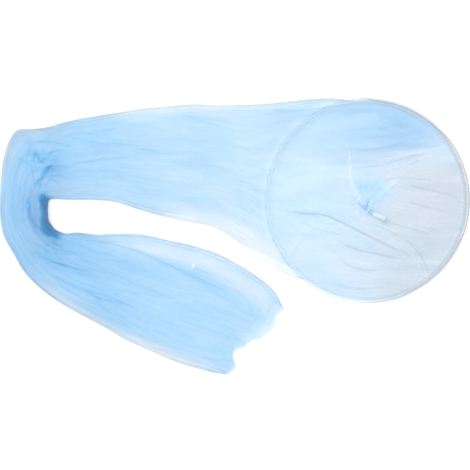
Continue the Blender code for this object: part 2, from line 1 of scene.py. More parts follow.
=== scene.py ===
# %% [markdown]
# # A bed canopy of sheer net, laid out on a floor
#
# The real object is a tube of fine blue net, sewn to a wire hoop that a round crown of the
# same net covers. It hangs over a bed. Here it lies on a white floor: the hoop is flat with
# its crown up, and the skirt runs out to the left, gathers, turns back and ends at its hem.
#
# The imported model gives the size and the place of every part. It is loaded first, and all
# that follows is made in its frame, in metres.

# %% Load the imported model
import math

import bmesh
import bpy
import numpy as np
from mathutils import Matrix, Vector


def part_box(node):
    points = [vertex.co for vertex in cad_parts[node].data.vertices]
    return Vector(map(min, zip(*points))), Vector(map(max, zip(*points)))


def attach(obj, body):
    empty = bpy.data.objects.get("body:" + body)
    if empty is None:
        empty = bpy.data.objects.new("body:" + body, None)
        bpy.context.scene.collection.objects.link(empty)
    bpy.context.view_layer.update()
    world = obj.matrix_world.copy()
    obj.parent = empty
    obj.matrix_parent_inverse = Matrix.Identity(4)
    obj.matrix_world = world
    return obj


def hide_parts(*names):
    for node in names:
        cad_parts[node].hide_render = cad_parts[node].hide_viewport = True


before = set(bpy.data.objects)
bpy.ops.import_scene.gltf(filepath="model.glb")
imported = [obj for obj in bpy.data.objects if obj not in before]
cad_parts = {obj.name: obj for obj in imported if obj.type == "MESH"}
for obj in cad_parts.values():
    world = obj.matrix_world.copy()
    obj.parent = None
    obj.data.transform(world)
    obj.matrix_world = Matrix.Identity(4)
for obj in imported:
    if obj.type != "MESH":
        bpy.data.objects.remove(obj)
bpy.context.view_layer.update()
MM = 0.001
print("nodes:", ", ".join(sorted(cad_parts)))

# %% [markdown]
# ## Where things are
#
# Nearly every place on the canopy is easiest to give from the middle of the hoop, as on a
# cutting table. The casing is a plain ring, so the middle of its box is the hoop's middle.

# %% The hoop's middle
casing_low, casing_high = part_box("hoop_casing")
hoop_middle = np.array(((casing_low + casing_high) / 2).xy[:])
hoop_radius = (casing_high.x - casing_low.x) / 2
print("hoop middle", hoop_middle.round(4), "radius", round(hoop_radius, 4))

# %% [markdown]
# ## The camera
#
# The canopy is seen from straight above. A long lens high up keeps the sides of the bundle
# from leaning outwards, as they would under a near camera.

# %% Camera
CAMERA_HEIGHT, VIEW_WIDTH = 5.0, 1.3818
scene = bpy.context.scene
camera_data = bpy.data.cameras.new("camera")
camera_data.sensor_width = 36.0
camera_data.lens = camera_data.sensor_width * CAMERA_HEIGHT / VIEW_WIDTH
camera = bpy.data.objects.new("camera", camera_data)
camera.location = (0.0017, 0.0037, CAMERA_HEIGHT)
scene.collection.objects.link(camera)
scene.camera = camera
print("lens", round(camera_data.lens, 1), "mm")

# %% [markdown]
# ## Small helpers for materials and meshes
#
# Every finish below is a tree of nodes. These helpers add a node and fill its sockets, with
# plain values or with another node's output, and turn a finished mesh into an object.

# %% Helpers for materials and meshes


def plug(tree, socket, value):
    """Links an output to the socket, or gives the socket a plain value."""
    if isinstance(value, bpy.types.NodeSocket):
        tree.links.new(value, socket)
    else:
        socket.default_value = value


def set_up(tree, node, **values):
    """Gives a node its settings and its sockets' values; Base_Color stands for Base Color."""
    for key, value in values.items():
        if hasattr(node, key):
            setattr(node, key, value)
        else:
            plug(tree, node.inputs[key.replace("_", " ")], value)
    return node


def add_node(tree, kind, **values):
    return set_up(tree, tree.nodes.new("ShaderNode" + kind), **values)


def math_node(tree, operation, *values):
    node = add_node(tree, "Math", operation=operation)
    for socket, value in zip(node.inputs, values):
        plug(tree, socket, value)
    return node.outputs[0]


def new_material(name):
    material = bpy.data.materials.new(name)
    material.use_nodes = True
    return material, material.node_tree, material.node_tree.nodes["Principled BSDF"]


def mesh_from(name, bm):
    mesh = bpy.data.meshes.new(name)
    bm.to_mesh(mesh)
    bm.free()
    return mesh


def object_from(mesh, material):
    mesh.materials.append(material)
    obj = bpy.data.objects.new(mesh.name, mesh)
    scene.collection.objects.link(obj)
    return obj


# %% [markdown]
# ## Light and floor
#
# Sheer net has hardly any shade of its own: what shows is how many layers lie over each
# other. An even, bright sky shows that best. One large soft lamp from the upper left gives
# the folds a slight lit side. The floor is plain white and runs past every view.

# %% World, lamp and floor
WHITE = (1.0, 1.0, 1.0, 1.0)
SKY_STRENGTH, LAMP_STRENGTH, LAMP_ANGLE = 0.68, 1.6, math.radians(38)
LAMP_PLACE = Vector((-1.5, 1.5, 3.2))
scene.view_settings.view_transform = "Standard"
scene.cycles.transparent_max_bounces = 32

world = bpy.data.worlds.new("studio")
scene.world = world
world.use_nodes = True
set_up(world.node_tree, world.node_tree.nodes["Background"], Color=WHITE, Strength=SKY_STRENGTH)

lamp_data = bpy.data.lights.new("soft_lamp", "SUN")
lamp_data.angle = LAMP_ANGLE
lamp_data.energy = LAMP_STRENGTH
lamp = bpy.data.objects.new("soft_lamp", lamp_data)
lamp.location = LAMP_PLACE
lamp.rotation_euler = (-LAMP_PLACE).to_track_quat("-Z", "Y").to_euler()
scene.collection.objects.link(lamp)

white_floor, floor_tree, floor_shader = new_material("white_floor")
set_up(
    floor_tree, floor_shader, Base_Color=(0.9, 0.9, 0.9, 1.0), Roughness=0.9,
    Specular_IOR_Level=0.1, Emission_Color=WHITE, Emission_Strength=0.16,
)
floor_grid = bmesh.new()
bmesh.ops.create_grid(floor_grid, x_segments=1, y_segments=1, size=7.0)
floor = object_from(mesh_from("floor", floor_grid), white_floor)

# %% [markdown]
# ## Small helpers for cloth
#
# A fold that repeats evenly looks machined. These helpers give soft, uneven values: a
# smooth step, a smooth curve through given points, and a gentle noise that is the
# same on every run because its table is seeded. The tables further down are in millimetres,
# with places given from the hoop's middle, and MM turns them into metres.

# %% Smooth steps, curves and noise


def smooth(t):
    """A soft step from 0 to 1."""
    t = np.clip(t, 0.0, 1.0)
    return t * t * (3.0 - 2.0 * t)


def bell(away, width):
    """1 where away is 0, and falling softly to nothing over about twice the width."""
    return np.exp(-((away / width) ** 2))


def unit(vectors):
    return vectors / np.linalg.norm(vectors, axis=1)[:, None]


def hoop_direction(angle):
    """Directions from the hoop's middle, one for each angle."""
    return np.stack([np.cos(angle), np.sin(angle)], axis=1)


def from_hoop(xy, z):
    """Points in the model's frame, from places given from the hoop's middle."""
    return np.column_stack([xy + hoop_middle, z])


def curve_at(points, at):
    """Places on the smooth curve through the points, which are one unit of at apart."""
    last = len(points) - 1
    at = np.clip(at, 0.0, last)
    i = np.minimum(at.astype(int), last - 1)
    f = (at - i)[:, None]
    a, b = points[np.maximum(i - 1, 0)], points[i]
    c, d = points[i + 1], points[np.minimum(i + 2, last)]
    slope_b, slope_c = (c - a) / 2, (d - b) / 2
    return (
        b * (2 * f**3 - 3 * f**2 + 1)
        + slope_b * (f**3 - 2 * f**2 + f)
        + c * (3 * f**2 - 2 * f**3)
        + slope_c * (f**3 - f**2)
    )


def noise(x, y, seed):
    """Soft noise between -1 and 1 that changes over a distance of about one unit."""
    table = np.random.default_rng(seed).uniform(-1.0, 1.0, (64, 64))
    xi, yi = np.floor(x).astype(int), np.floor(y).astype(int)
    fx, fy = smooth(x - xi), smooth(y - yi)
    x0, x1, y0, y1 = xi % 64, (xi + 1) % 64, yi % 64, (yi + 1) % 64
    low = table[x0, y0] * (1 - fx) + table[x1, y0] * fx
    high = table[x0, y1] * (1 - fx) + table[x1, y1] * fx
    return low * (1 - fy) + high * fy


# %% [markdown]
# ## The skirt's route
#
# The bundled skirt has a route like a road: lines across it, each from its outer edge to
# its inner edge, from the hoop round the turn to the hem. They are the same lines that the
# solid model uses, so the net lies where its solid lies.

# %% Lines across the bundle
ROUTE = np.array([
    # x and y of the outer end, x and y of the inner end
    (-374, 281, -374, -125), (-447, 281, -447, -81), (-521, 283, -521, -64),
    (-594, 276, -594, -49), (-668, 269, -668, -28), (-741, 257, -741, -5),
    (-815, 245, -809, 1), (-885, 231, -874, 1), (-938, 216, -912, 4),
    (-985, 210, -931, 2), (-1026, 207, -936, -5), (-1050, 178, -937, -16),
    (-1068, 122, -938, -28), (-1076, 60, -937, -40), (-1079, -5, -936, -52),
    (-1076, -69, -933, -62), (-1062, -116, -926, -72), (-1038, -158, -918, -83),
    (-1009, -208, -903, -91), (-968, -252, -882, -96), (-915, -293, -847, -94),
    (-850, -331, -794, -100), (-779, -369, -729, -97), (-706, -411, -659, -100),
    (-632, -444, -585, -116), (-562, -474, -509, -133), (-497, -494, -435, -158),
    (-450, -506, -362, -197), (-423, -510, -303, -238), (-414, -510, -271, -269),
    (-406, -508, -244, -319),
]) * MM
OUTER_EDGE, INNER_EDGE = ROUTE[:, :2], ROUTE[:, 2:]
LAST_LINE = len(ROUTE) - 1
middles = (OUTER_EDGE + INNER_EDGE) / 2
route_length = np.linalg.norm(np.diff(middles, axis=0), axis=1).sum()
print("route", round(route_length, 3), "m, lines", len(ROUTE))


def bundle_width(at):
    return np.linalg.norm(curve_at(OUTER_EDGE, at) - curve_at(INNER_EDGE, at), axis=1)


def across_bundle(at, share):
    """Places across the bundle: share is -1 at its inner edge and 1 at its outer edge."""
    outer, inner = curve_at(OUTER_EDGE, at), curve_at(INNER_EDGE, at)
    return inner + (outer - inner) * ((share + 1.0) / 2.0)[:, None]


# %% [markdown]
# ## How the bundle is folded
#
# The upper side of the bundle has long folds side by side. Each has a width, the height of
# its crest and of the valley after it, and a lean. A fold fills and empties along the way,
# so folds seem to merge and part, as gathered net does. The bundle's section keeps its
# area, so it stands taller where it is squeezed narrow, in the turn.

# %% Folds and height of the bundle
FOLDS = np.array([
    # width, crest, valley, lean
    (0.9, 0.88, 0.56, 0.15),
    (1.2, 0.94, 0.74, -0.10),
    (0.8, 1.00, 0.52, 0.18),
    (1.3, 0.90, 0.66, 0.08),
    (0.8, 1.00, 0.80, -0.15),
    (1.1, 0.97, 0.50, 0.12),
    (1.4, 0.90, 0.72, -0.12),
    (0.8, 1.00, 0.54, 0.15),
    (0.9, 0.86, 0.00, -0.10),
])
FOLD_WIDTHS = 2.0 * FOLDS[:, 0] / FOLDS[:, 0].sum()
FOLD_STARTS = -1.0 + np.concatenate([[0.0], np.cumsum(FOLD_WIDTHS)[:-1]])
LAST_FOLD = len(FOLDS) - 1
PACKED_AREA = 0.0104
OVER_LAYER = 3.4 * MM


def bundle_height(at):
    """Square metres packed in the section over its width; the last seven lines lie thinner."""
    thinning = 0.5 * smooth(1.0 - (LAST_LINE - at) / 7.0)
    return PACKED_AREA / bundle_width(at) * (1.0 - thinning)


def valley_height(fold, at):
    """The valley after a fold, which fills and empties along the way."""
    crest, valley = FOLDS[np.clip(fold, 0, LAST_FOLD), 1:3].T
    filled = 0.8 * smooth(np.sin(0.42 * at + 2.3 * fold))
    return np.where((fold < 0) | (fold >= LAST_FOLD), 0.0, valley + (crest - valley) * filled)


def fold_shape(at, share):
    """The folds' rise as a share of the bundle's height, and how far they lean."""
    fold = np.clip(np.searchsorted(FOLD_STARTS, share, side="right") - 1, 0, LAST_FOLD)
    through = np.clip((share - FOLD_STARTS[fold]) / FOLD_WIDTHS[fold], 0.0, 1.0)
    crest = FOLDS[fold, 1]
    before, after = valley_height(fold - 1, at), valley_height(fold, at)
    foot = before + (after - before) * smooth(through)
    rise = foot + (crest - foot) * (1.0 - np.abs(2.0 * through - 1.0) ** 2.2)
    rise = rise * (1.0 + 0.12 * np.sin(0.7 * at + 2.1 * fold))
    lean = FOLDS[fold, 3] * FOLD_WIDTHS[fold] * np.sin(math.pi * through)
    lean = lean + 0.07 * (1.0 - share**2) * np.sin(0.55 * at + 1.3 * share)
    return rise, lean


# %% [markdown]
# ## Creases placed one by one
#
# Where the net is pressed or pulled, it keeps a crease: a soft ridge or trough a few
# millimetres wide, a little bluer because the net doubles there. Each row gives a crease's
# half width, its rise, how much denser the net is there, and the points that it runs
# through. They are as uneven as on the real net.

# %% Creases of the skirt and of the crown
LOWER_LEG_INNER = (-820, -112, -665, -132, -509, -168, -400, -218, -310, -280, -268, -312)
LOWER_LEG_OUTER = (-1000, -215, -850, -322, -706, -398, -562, -462, -450, -494)
UPPER_LEG_INNER = (-640, -26, -520, -46, -447, -58, -374, -92, -300, -150, -240, -205)
SKIRT_CREASES = [
    # half width, rise, denser, then x and y of each point
    (7, 3.0, 0.60, -932, 198, -826, 175, -756, 163, -706, 163, -647, 151, -603, 142),
    (5, 2.0, 0.25, -858, 207, -747, 178),
    (5, 2.0, 0.20, -691, 263, -629, 245),
    (6, 2.5, 0.30, -570, 263, -494, 236, -403, 210, -309, 178),
    (5, 2.0, 0.22, -467, 195, -373, 160, -320, 133),
    (6, 2.0, 0.22, -885, 101, -791, 89, -706, 83),
    (5, 2.0, 0.20, -903, 148, -814, 125, -726, 119),
    (6, 1.5, 0.18, -726, 31, -609, 13, -491, -8),
    (5, 1.5, -0.25, -764, 157, -691, 139, -606, 101, -562, 66, -544, 31),
    (8, 4.0, 1.20, -973, 31, -944, 86, -894, 113),
    (7, 3.0, 0.90, -935, 98, -961, 119, -976, 148),
    (6, 3.0, 0.70, -973, 31, -982, 104, -967, 154),
    (5, 3.0, 1.00, -962, 22, -952, 62, -926, 102, -908, 122),
    (4, 2.5, 0.80, -948, 34, -924, 66, -896, 78),
    (4, 2.5, 0.70, -942, 74, -914, 92, -868, 96),
    (4, 2.5, 0.70, -956, 112, -930, 138, -890, 150),
    (4, 2.0, 0.60, -990, 60, -998, 120, -985, 172),
    (4, 2.0, 0.50, -968, 172, -910, 168, -850, 150),
    (4, 2.0, 0.50, -975, -118, -930, -150, -872, -160),
    (4, 2.0, 0.45, -1020, 40, -1026, -50, -1006, -130),
    (11, -5.0, 0.90, -991, 4, -982, -52, -950, -90, -900, -102),
    (7, 3.0, 0.40, -997, 104, -1000, 31, -991, -43, -961, -102),
    (6, 2.5, 0.25, -1038, 119, -1050, 31, -1044, -58, -1014, -146),
    (7, 3.0, 0.50, -953, -134, -894, -108),
    (7, 3.0, 0.70, -985, -146, -932, -175, -864, -196, -798, -212),
    (9, 2.0, 0.30, -940, -190, -850, -215, -780, -222),
    (7, 2.5, 0.65, -932, -213, -876, -243, -808, -272, -782, -305),
    (5, 2.0, 0.60, -800, -284, -764, -292, -697, -305),
    (5, 2.0, 0.45, -560, -176, -500, -200, -436, -232),
    (5, 2.0, 0.40, -530, -206, -470, -226, -404, -264),
    (5, 2.0, 0.40, -392, -258, -352, -296, -336, -352),
    (6, -3.5, 0.85, -891, -108, -764, -125, -682, -146, -606, -178, -520, -219, -450, -252,
     -376, -287),
    (6, 2.0, 0.22, -797, -143, -673, -193, -606, -213),
    (5, 2.0, -0.30, -664, -287, -538, -296, -485, -322, -450, -352),
    (6, 2.0, 0.20, -638, -381, -520, -425, -417, -455),
    (5, 2.0, 0.25, -320, -252, -309, -293, -326, -346, -356, -381),
]
# Broad soft strokes where the net lies thinner or thicker, in the same form
SKIRT_TONES = [
    (27, 0, -0.68, *LOWER_LEG_INNER),
    (16, 0, -0.55, *LOWER_LEG_OUTER),
    (18, 0, -0.54, -374, 272, -500, 276, -650, 264, -760, 248),
    (30, 0, -0.70, *UPPER_LEG_INNER),
    (26, 0, -0.22, -262, -290, -310, -370, -380, -420),
    (26, 0, -0.30, -600, 90, -480, 60, -380, 20),
    (20, 0, -0.05, -1000, -130, -950, -180, -880, -215, -790, -240),
    (18, 0, 0.30, -1010, 150, -960, 130, -880, 130),
    (14, 0, 3.20, -958, 30, -944, -10, -942, -50, -930, -88, -890, -112),
]
# Places where the net is painted greyer, as painted shade, in the same form
SKIRT_PAINTED_SHADE = [
    (26, 0, 0.55, -1062, 60, -1052, 150, -1020, 195, -940, 205, -860, 220),
    (14, 0, 0.35, -374, 274, -500, 276, -650, 264, -760, 248),
    (24, 0, 0.30, *LOWER_LEG_INNER),
    (30, 0, 0.40, *UPPER_LEG_INNER),
    (18, 0, 0.60, *LOWER_LEG_OUTER),
]
# The same strokes for the crown: pale along the tapes, bluer below the knot
CROWN_TONES = [
    (3.5, 0, -0.32, -57, 158, -50, 112, -46, 66, -30, 16, -12, -10),
    (3.0, 0, -0.20, -188, 242, -150, 226, -109, 207),
    (3.5, 0, -0.28, 6, -14, 50, 24, 104, 70),
    (14, 0, 0.30, 12, -18, 34, -42, 58, -64, 82, -80),
    (3.0, 0, -0.40, -9, 108, 60, 122, 138, 140, 218, 157, 262, 158),
    (3.0, 0, -0.35, -250, 236, -226, 228, -200, 236, -188, 212),
    (22, 0, -0.20, -250, 20, -180, 60, -120, 120),
]
CROWN_CREASES = [
    (3.8, 4.0, 0.75, -259, -28, -190, -38, -126, -43, -76, -64, -12, -96, 65, -134, 135, -166),
    (3.2, 3.0, 0.60, -91, -113, -35, -143, 35, -158, 97, -172),
    (3.2, 2.5, 0.45, 121, 45, 176, 31, 256, 13),
    (3.2, 2.5, 0.45, 115, -2, 159, -16, 232, -34),
    (3.2, 2.5, 0.45, 65, -66, 129, -84, 191, -102),
    (2.8, 2.0, 0.45, -85, -166, -56, -190, 0, -205, 35, -199),
    (3.2, 2.5, 0.45, 106, -105, 159, -166, 185, -222),
    (3.2, 2.0, 0.35, -109, -243, -35, -258, 53, -255),
    (2.8, 2.0, 0.35, -200, -60, -130, -90, -70, -100),
    (2.8, 1.5, 0.30, 10, -66, 70, -92, 120, -124),
    (3.4, 2.0, 0.40, -40, 96, 40, 104, 120, 128, 200, 142),
    (6, 2.0, 0.40, -60, 207, 38, 213, 126, 230),
    (7, 2.0, 0.40, -94, 157, 9, 148, 112, 169),
    (9, 2.0, 0.35, -150, 252, -40, 262, 90, 262),
    (6, 2.0, 0.35, -30, 184, 70, 188, 170, 204),
    (2.6, 1.5, 0.50, 112, 112, 132, 130, 150, 134),
    (2.6, 1.5, 0.50, 120, 100, 146, 116, 160, 112),
    (2.6, 1.5, 0.45, -262, 210, -240, 226, -214, 238),
    (2.6, 1.5, 0.40, -216, 206, -196, 224, -170, 234),
    (2.8, 1.5, 0.30, 30, 60, 110, 66, 190, 58),
]


def drifting_creases(count, seed):
    """Long fine creases that drift a little across the bundle as they run along it."""
    random = np.random.default_rng(seed)
    found = []
    for _ in range(count):
        at = random.uniform(0.5, 26.5) + np.linspace(0.0, random.uniform(1.2, 4.0), 4)
        share = random.uniform(-0.85, 0.85) + np.linspace(0.0, random.uniform(-0.24, 0.24), 4)
        share = share + random.uniform(-0.02, 0.02, 4)
        points = across_bundle(at, share) / MM
        half_width, rise, denser = random.uniform((2.4, 0.6, 0.10), (5.0, 1.8, 0.34))
        found.append((half_width, rise, denser, *points.ravel()))
    return found


def fanning_creases(count, middle, first_turn, last_turn, seed):
    """Short sharp creases that spread from one pinched place."""
    random = np.random.default_rng(seed)
    found = []
    turns = np.linspace(first_turn, last_turn, count) + random.uniform(-6.0, 6.0, count)
    for turn in np.radians(turns):
        reach = random.uniform(6.0, 34.0) + np.linspace(0.0, random.uniform(28.0, 80.0), 4)
        bent = turn + np.linspace(0.0, random.uniform(-0.35, 0.35), 4)
        points = np.array(middle) + hoop_direction(bent) * reach[:, None]
        half_width, rise, denser = random.uniform((2.0, 1.0, 0.25), (3.4, 2.4, 0.75))
        found.append((half_width, rise, denser, *points.ravel()))
    return found


SKIRT_CREASES += drifting_creases(90, 17)
SKIRT_CREASES += fanning_creases(15, (-962, 78), -30, 140, 18)
SKIRT_CREASES += fanning_creases(7, (-962, 40), 215, 285, 19)
SKIRT_CREASES += fanning_creases(7, (-932, -118), 225, 330, 20)


def crease_field(xy, creases):
    """The creases' rise and extra density at places given from the hoop's middle."""
    rise, denser = np.zeros(len(xy)), np.zeros(len(xy))
    for half_width, height, extra, *points in creases:
        line = np.reshape(points, (-1, 2)) * MM
        knots = curve_at(line, np.linspace(0.0, len(line) - 1.0, 8 * (len(line) - 1) + 1))
        reach = 3.0 * half_width * MM
        low, high = knots.min(0) - reach, knots.max(0) + reach
        near = np.where(((xy > low) & (xy < high)).all(1))[0]
        if len(near) == 0:
            continue
        steps = len(knots) - 1
        best, where = np.full(len(near), 1e9), np.zeros(len(near))
        for i in range(steps):
            a, b = knots[i], knots[i + 1]
            t = np.clip(((xy[near] - a) @ (b - a)) / ((b - a) @ (b - a)), 0.0, 1.0)
            away = np.linalg.norm(xy[near] - a - t[:, None] * (b - a), axis=1)
            closer = away < best
            best[closer], where[closer] = away[closer], ((i + t) / steps)[closer]
        ends = smooth(where / 0.22) * smooth((1.0 - where) / 0.22)
        ends = ends * (0.85 + 0.15 * noise(where * 7.0, where * 0.0, int(half_width * 7 + height)))
        shape = bell(best, half_width * MM) * ends
        core = bell(best, 0.42 * half_width * MM) * ends
        rise[near] += shape * height * MM
        denser[near] += (0.35 * shape + 0.75 * core) * extra if height else shape * extra
    return rise, denser


print("creases:", len(SKIRT_CREASES), "on the skirt,", len(CROWN_CREASES), "on the crown")

# %% [markdown]
# ## The net's finish
#
# Net is threads with air between them. One layer covers little of what lies behind it, and
# each further layer covers the same share of what is left. So the finish works out how much
# shows through from a number of layers, which is painted on the mesh as an attribute, and
# from fine streaks that run along the cloth. A diamond mesh of thread, 1.8 mm across, shows
# close up. Light also comes through net from behind, so part of the finish is translucent.

# %% The net's material
MESH_PITCH, MESH_TURN = 1.8 * MM, 0.56
ONE_BAND = 0.314  # the scale at which a wave texture has one band to a unit
BACKLIT_SHARE = 0.45


def attribute(tree, name):
    return add_node(tree, "Attribute", attribute_name=name).outputs["Fac"]


def colour_by(tree, amount, stops):
    """A colour that runs through the stops as the amount goes from 0 to 1."""
    ramp = add_node(tree, "ValToRGB", Fac=amount)
    elements = ramp.color_ramp.elements
    while len(elements) < len(stops):
        elements.new(0.5)
    for element, (position, colour) in zip(elements, stops):
        element.position = position
        element.color = (*colour, 1.0)
    return ramp.outputs["Color"]


def cloth_place(tree, **values):
    """The cloth's own UV map, in metres of cloth, moved, turned or stretched."""
    uv = add_node(tree, "UVMap", uv_map="cloth").outputs["UV"]
    return add_node(tree, "Mapping", Vector=uv, **values).outputs["Vector"]


def streaks(tree, across, along, detail, seed, warp):
    """Noise in the cloth's plane, drawn out along the cloth and warped a little."""
    place = cloth_place(tree, Location=(seed, seed * 0.37, 0.0), Scale=(across, along, 1.0))
    return add_node(
        tree, "TexNoise", Vector=place, Scale=1.0, Detail=detail, Roughness=0.55, Distortion=warp,
    ).outputs["Fac"]


def threads(tree, turn):
    """Thin lines of thread in the cloth's plane, one set in one direction."""
    scale = (1.0 / MESH_PITCH, 1.0 / MESH_PITCH, 1.0)
    place = cloth_place(tree, Rotation=(0.0, 0.0, turn), Scale=scale)
    return add_node(tree, "TexWave", Vector=place, Scale=ONE_BAND).outputs["Fac"]


def mixed(tree, share, first, second):
    """The share says how much of the second shader there is."""
    node = add_node(tree, "MixShader", Fac=share)
    tree.links.new(first.outputs[0], node.inputs[1])
    tree.links.new(second.outputs[0], node.inputs[2])
    return node


def net_material(name, cover, stops, painted_shade_colour, streak, seed):
    """Sheer net: cover is the share one layer hides, stops its colours from thin to dense, and
    the grey colour is what the painted shade on the mesh mixes in.
    """
    material, tree, shader = new_material(name)

    def maths(operation, *values):
        return math_node(tree, operation, *values)

    # fine streaks, pale lines where they cross their middle value, and broader patches
    fine = streaks(tree, 120.0, 7.0, 3.0, seed, 0.5)
    patches = streaks(tree, 46.0, 11.0, 2.0, seed + 11.0, 1.2)
    away = maths("ABSOLUTE", maths("SUBTRACT", fine, 0.5))
    line = maths("MAXIMUM", maths("SUBTRACT", 1.0, maths("MULTIPLY", away, 13.0)), 0.0)
    both = maths("ADD", maths("MULTIPLY", line, 0.40), fine)
    both = maths("ADD", both, maths("MULTIPLY", patches, 0.8))
    uneven = maths("MULTIPLY_ADD", both, streak, 1.0 - streak * 1.02)
    # a diamond mesh: where a thread runs the cloth counts fully, and in between less
    crossed = maths("MAXIMUM", threads(tree, MESH_TURN), threads(tree, -MESH_TURN))
    weave = maths("MULTIPLY_ADD", crossed, 0.5, 0.66)
    uneven_layers = maths("MULTIPLY", attribute(tree, "layers"), uneven)
    amount = maths("MAXIMUM", maths("MULTIPLY", uneven_layers, weave), 0.0)
    clear = maths("POWER", 1.0 - cover, amount)

    # painted shade: where the mesh's attribute says so, the colour is mixed towards a grey
    tint = add_node(
        tree, "Mix", data_type="RGBA", Factor=attribute(tree, "painted_shade"),
        A=colour_by(tree, maths("MULTIPLY", uneven_layers, 0.25), stops), B=(*painted_shade_colour, 1.0),
    )
    colour = tint.outputs["Result"]
    bump = add_node(tree, "Bump", Strength=0.5, Distance=2.5 * MM, Height=both)
    set_up(
        tree, shader, Base_Color=colour, Normal=bump.outputs["Normal"],
        Roughness=maths("MULTIPLY_ADD", fine, 0.2, 0.72), Specular_IOR_Level=0.15,
        Sheen_Weight=0.12, Sheen_Roughness=0.4,
    )
    cloth = mixed(tree, BACKLIT_SHARE, shader, add_node(tree, "BsdfTranslucent", Color=colour))
    cloth_and_air = mixed(tree, clear, cloth, add_node(tree, "BsdfTransparent"))
    tree.links.new(cloth_and_air.outputs[0], tree.nodes["Material Output"].inputs["Surface"])
    return material


SKIRT_COLOURS = (
    (0.0, (0.52, 0.71, 0.86)),
    (0.3, (0.38, 0.71, 0.95)),
    (0.6, (0.33, 0.72, 0.98)),
    (1.0, (0.12, 0.47, 0.74)),
)
CROWN_COLOURS = (
    (0.0, (0.45, 0.68, 0.88)),
    (0.6, (0.38, 0.63, 0.85)),
    (0.8, (0.33, 0.59, 0.82)),
    (1.0, (0.20, 0.43, 0.63)),
)
# the greys that the painted shade mixes into the net's colour
SKIRT_SHADE_GREY = (0.50, 0.53, 0.60)
CROWN_SHADE_GREY = (0.33, 0.41, 0.51)
net_blue = net_material("net_blue_sheer", 0.13, SKIRT_COLOURS, SKIRT_SHADE_GREY, 0.70, 3.0)
net_inner = net_material("net_blue_inner", 0.13, SKIRT_COLOURS, SKIRT_SHADE_GREY, 0.62, 7.0)
net_crown = net_material("net_crown_sheer", 0.24, CROWN_COLOURS, CROWN_SHADE_GREY, 0.13, 5.0)

# %% [markdown]
# ## Making a sheet of net
#
# Each sheet starts as a flat grid. A grid already knows where each of its points is across
# and along the cloth, so it carries a UV map in metres of cloth, and then every point is
# moved to where the net lies. The number of layers it stands for goes in an attribute.

# %% A sheet from a grid
PLAN_SLANT = 0.16  # the streaks seen from above run down to the right a little


def net_sheet(name, columns, rows, place, flat, material, closed=False, plan=False):
    """place(u, v) gives the points' places, layers and painted grey shade, for u across and v
    along. With plan, the pattern is laid on from above instead, with its length left to right."""
    bm = bmesh.new()
    bm.loops.layers.uv.new("cloth")
    bmesh.ops.create_grid(bm, x_segments=columns, y_segments=rows, size=1.0, calc_uvs=True)
    mesh = mesh_from(name, bm)
    corners = np.zeros(len(mesh.loops) * 2)
    uv_map = mesh.uv_layers["cloth"].uv
    uv_map.foreach_get("vector", corners)
    uv_map.foreach_set("vector", (corners.reshape(-1, 2) * np.array(flat)).ravel())
    points = np.zeros(len(mesh.vertices) * 3)
    mesh.vertices.foreach_get("co", points)
    grid = (points.reshape(-1, 3)[:, :2] + 1.0) / 2.0
    places, layers, painted_shade = place(grid[:, 0], grid[:, 1])
    mesh.vertices.foreach_set("co", places.ravel())
    if plan:
        vertex_of_corner = np.zeros(len(mesh.loops), int)
        mesh.loops.foreach_get("vertex_index", vertex_of_corner)
        x, y = places[vertex_of_corner, :2].T
        uv_map.foreach_set("vector", np.stack([y + PLAN_SLANT * x, x], axis=1).ravel())
    for key, values in (("layers", np.maximum(layers, 0.0)), ("painted_shade", np.clip(painted_shade, 0.0, 1.0))):
        mesh.attributes.new(key, "FLOAT", "POINT").data.foreach_set("value", values)
    if closed:
        bm = bmesh.new()
        bm.from_mesh(mesh)
        bmesh.ops.remove_doubles(bm, verts=bm.verts, dist=0.005 * MM)
        bm.to_mesh(mesh)
        bm.free()
    mesh.shade_smooth()
    obj = object_from(mesh, material)
    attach(obj, "root")
    area = sum(face.area for face in mesh.polygons)
    print(f"{name}: {len(mesh.polygons)} faces, {area:.3f} square metres of {flat}")
    return obj


# %% [markdown]
# ## The skirt's outer net
#
# The outer layer is one tube. It is sewn to the hoop all the way round, runs out to the
# left and lies over the bundle's folds, and its lower side lies on the floor, also under
# the crown. The tube's points run once round: over the folds from the inner edge to the
# outer edge, then back along the floor.

# %% Places on the bundle
HOOP_LEAVES = (math.radians(97), math.radians(232))
HEM_EDGE = np.array([
    # share across, how far the hem reaches past a straight line, in millimetres
    (-1.00, 0), (-0.78, -3), (-0.48, 12), (-0.25, 6), (-0.07, 2), (0.07, -10), (0.19, -17),
    (0.35, -15), (0.46, -27), (0.56, -31), (0.65, -26), (0.72, -8), (0.80, 4), (1.00, 0),
])
HEM_LINES = 3.0
hem_across = OUTER_EDGE[-1] - INNER_EDGE[-1]
hem_onward = np.array([-hem_across[1], hem_across[0]]) / np.linalg.norm(hem_across)


def upper_side(at, share, level=1.0, inset=0.0):
    """Places on the upper side of the bundle, or of a layer inside it at a lower level."""
    rise, lean = fold_shape(at, share)
    moved = share * (1.0 - inset) + lean
    dome = np.maximum(1.0 - np.abs(np.clip(moved, -1.0, 1.0)) ** 2.4, 0.0) ** 0.6
    width = bundle_width(at)
    ripple = noise(share * width / (16 * MM), at * 0.7, 21) * 1.6
    ripple += noise(share * width / (7 * MM), at * 1.1, 22) * 1.1
    height = bundle_height(at) * level
    z = OVER_LAYER + np.maximum(height - OVER_LAYER, 0.0) * dome * rise
    z = z + ripple * MM * np.minimum(dome * 1.4, 1.0)
    return across_bundle(at, moved), z


def hem_reach(at, share):
    """How far the uneven hem moves the net onward, over the last lines of the route."""
    near = smooth((at - (LAST_LINE - HEM_LINES)) / HEM_LINES)
    return hem_onward * (np.interp(share, HEM_EDGE[:, 0], HEM_EDGE[:, 1]) * MM * near)[:, None]


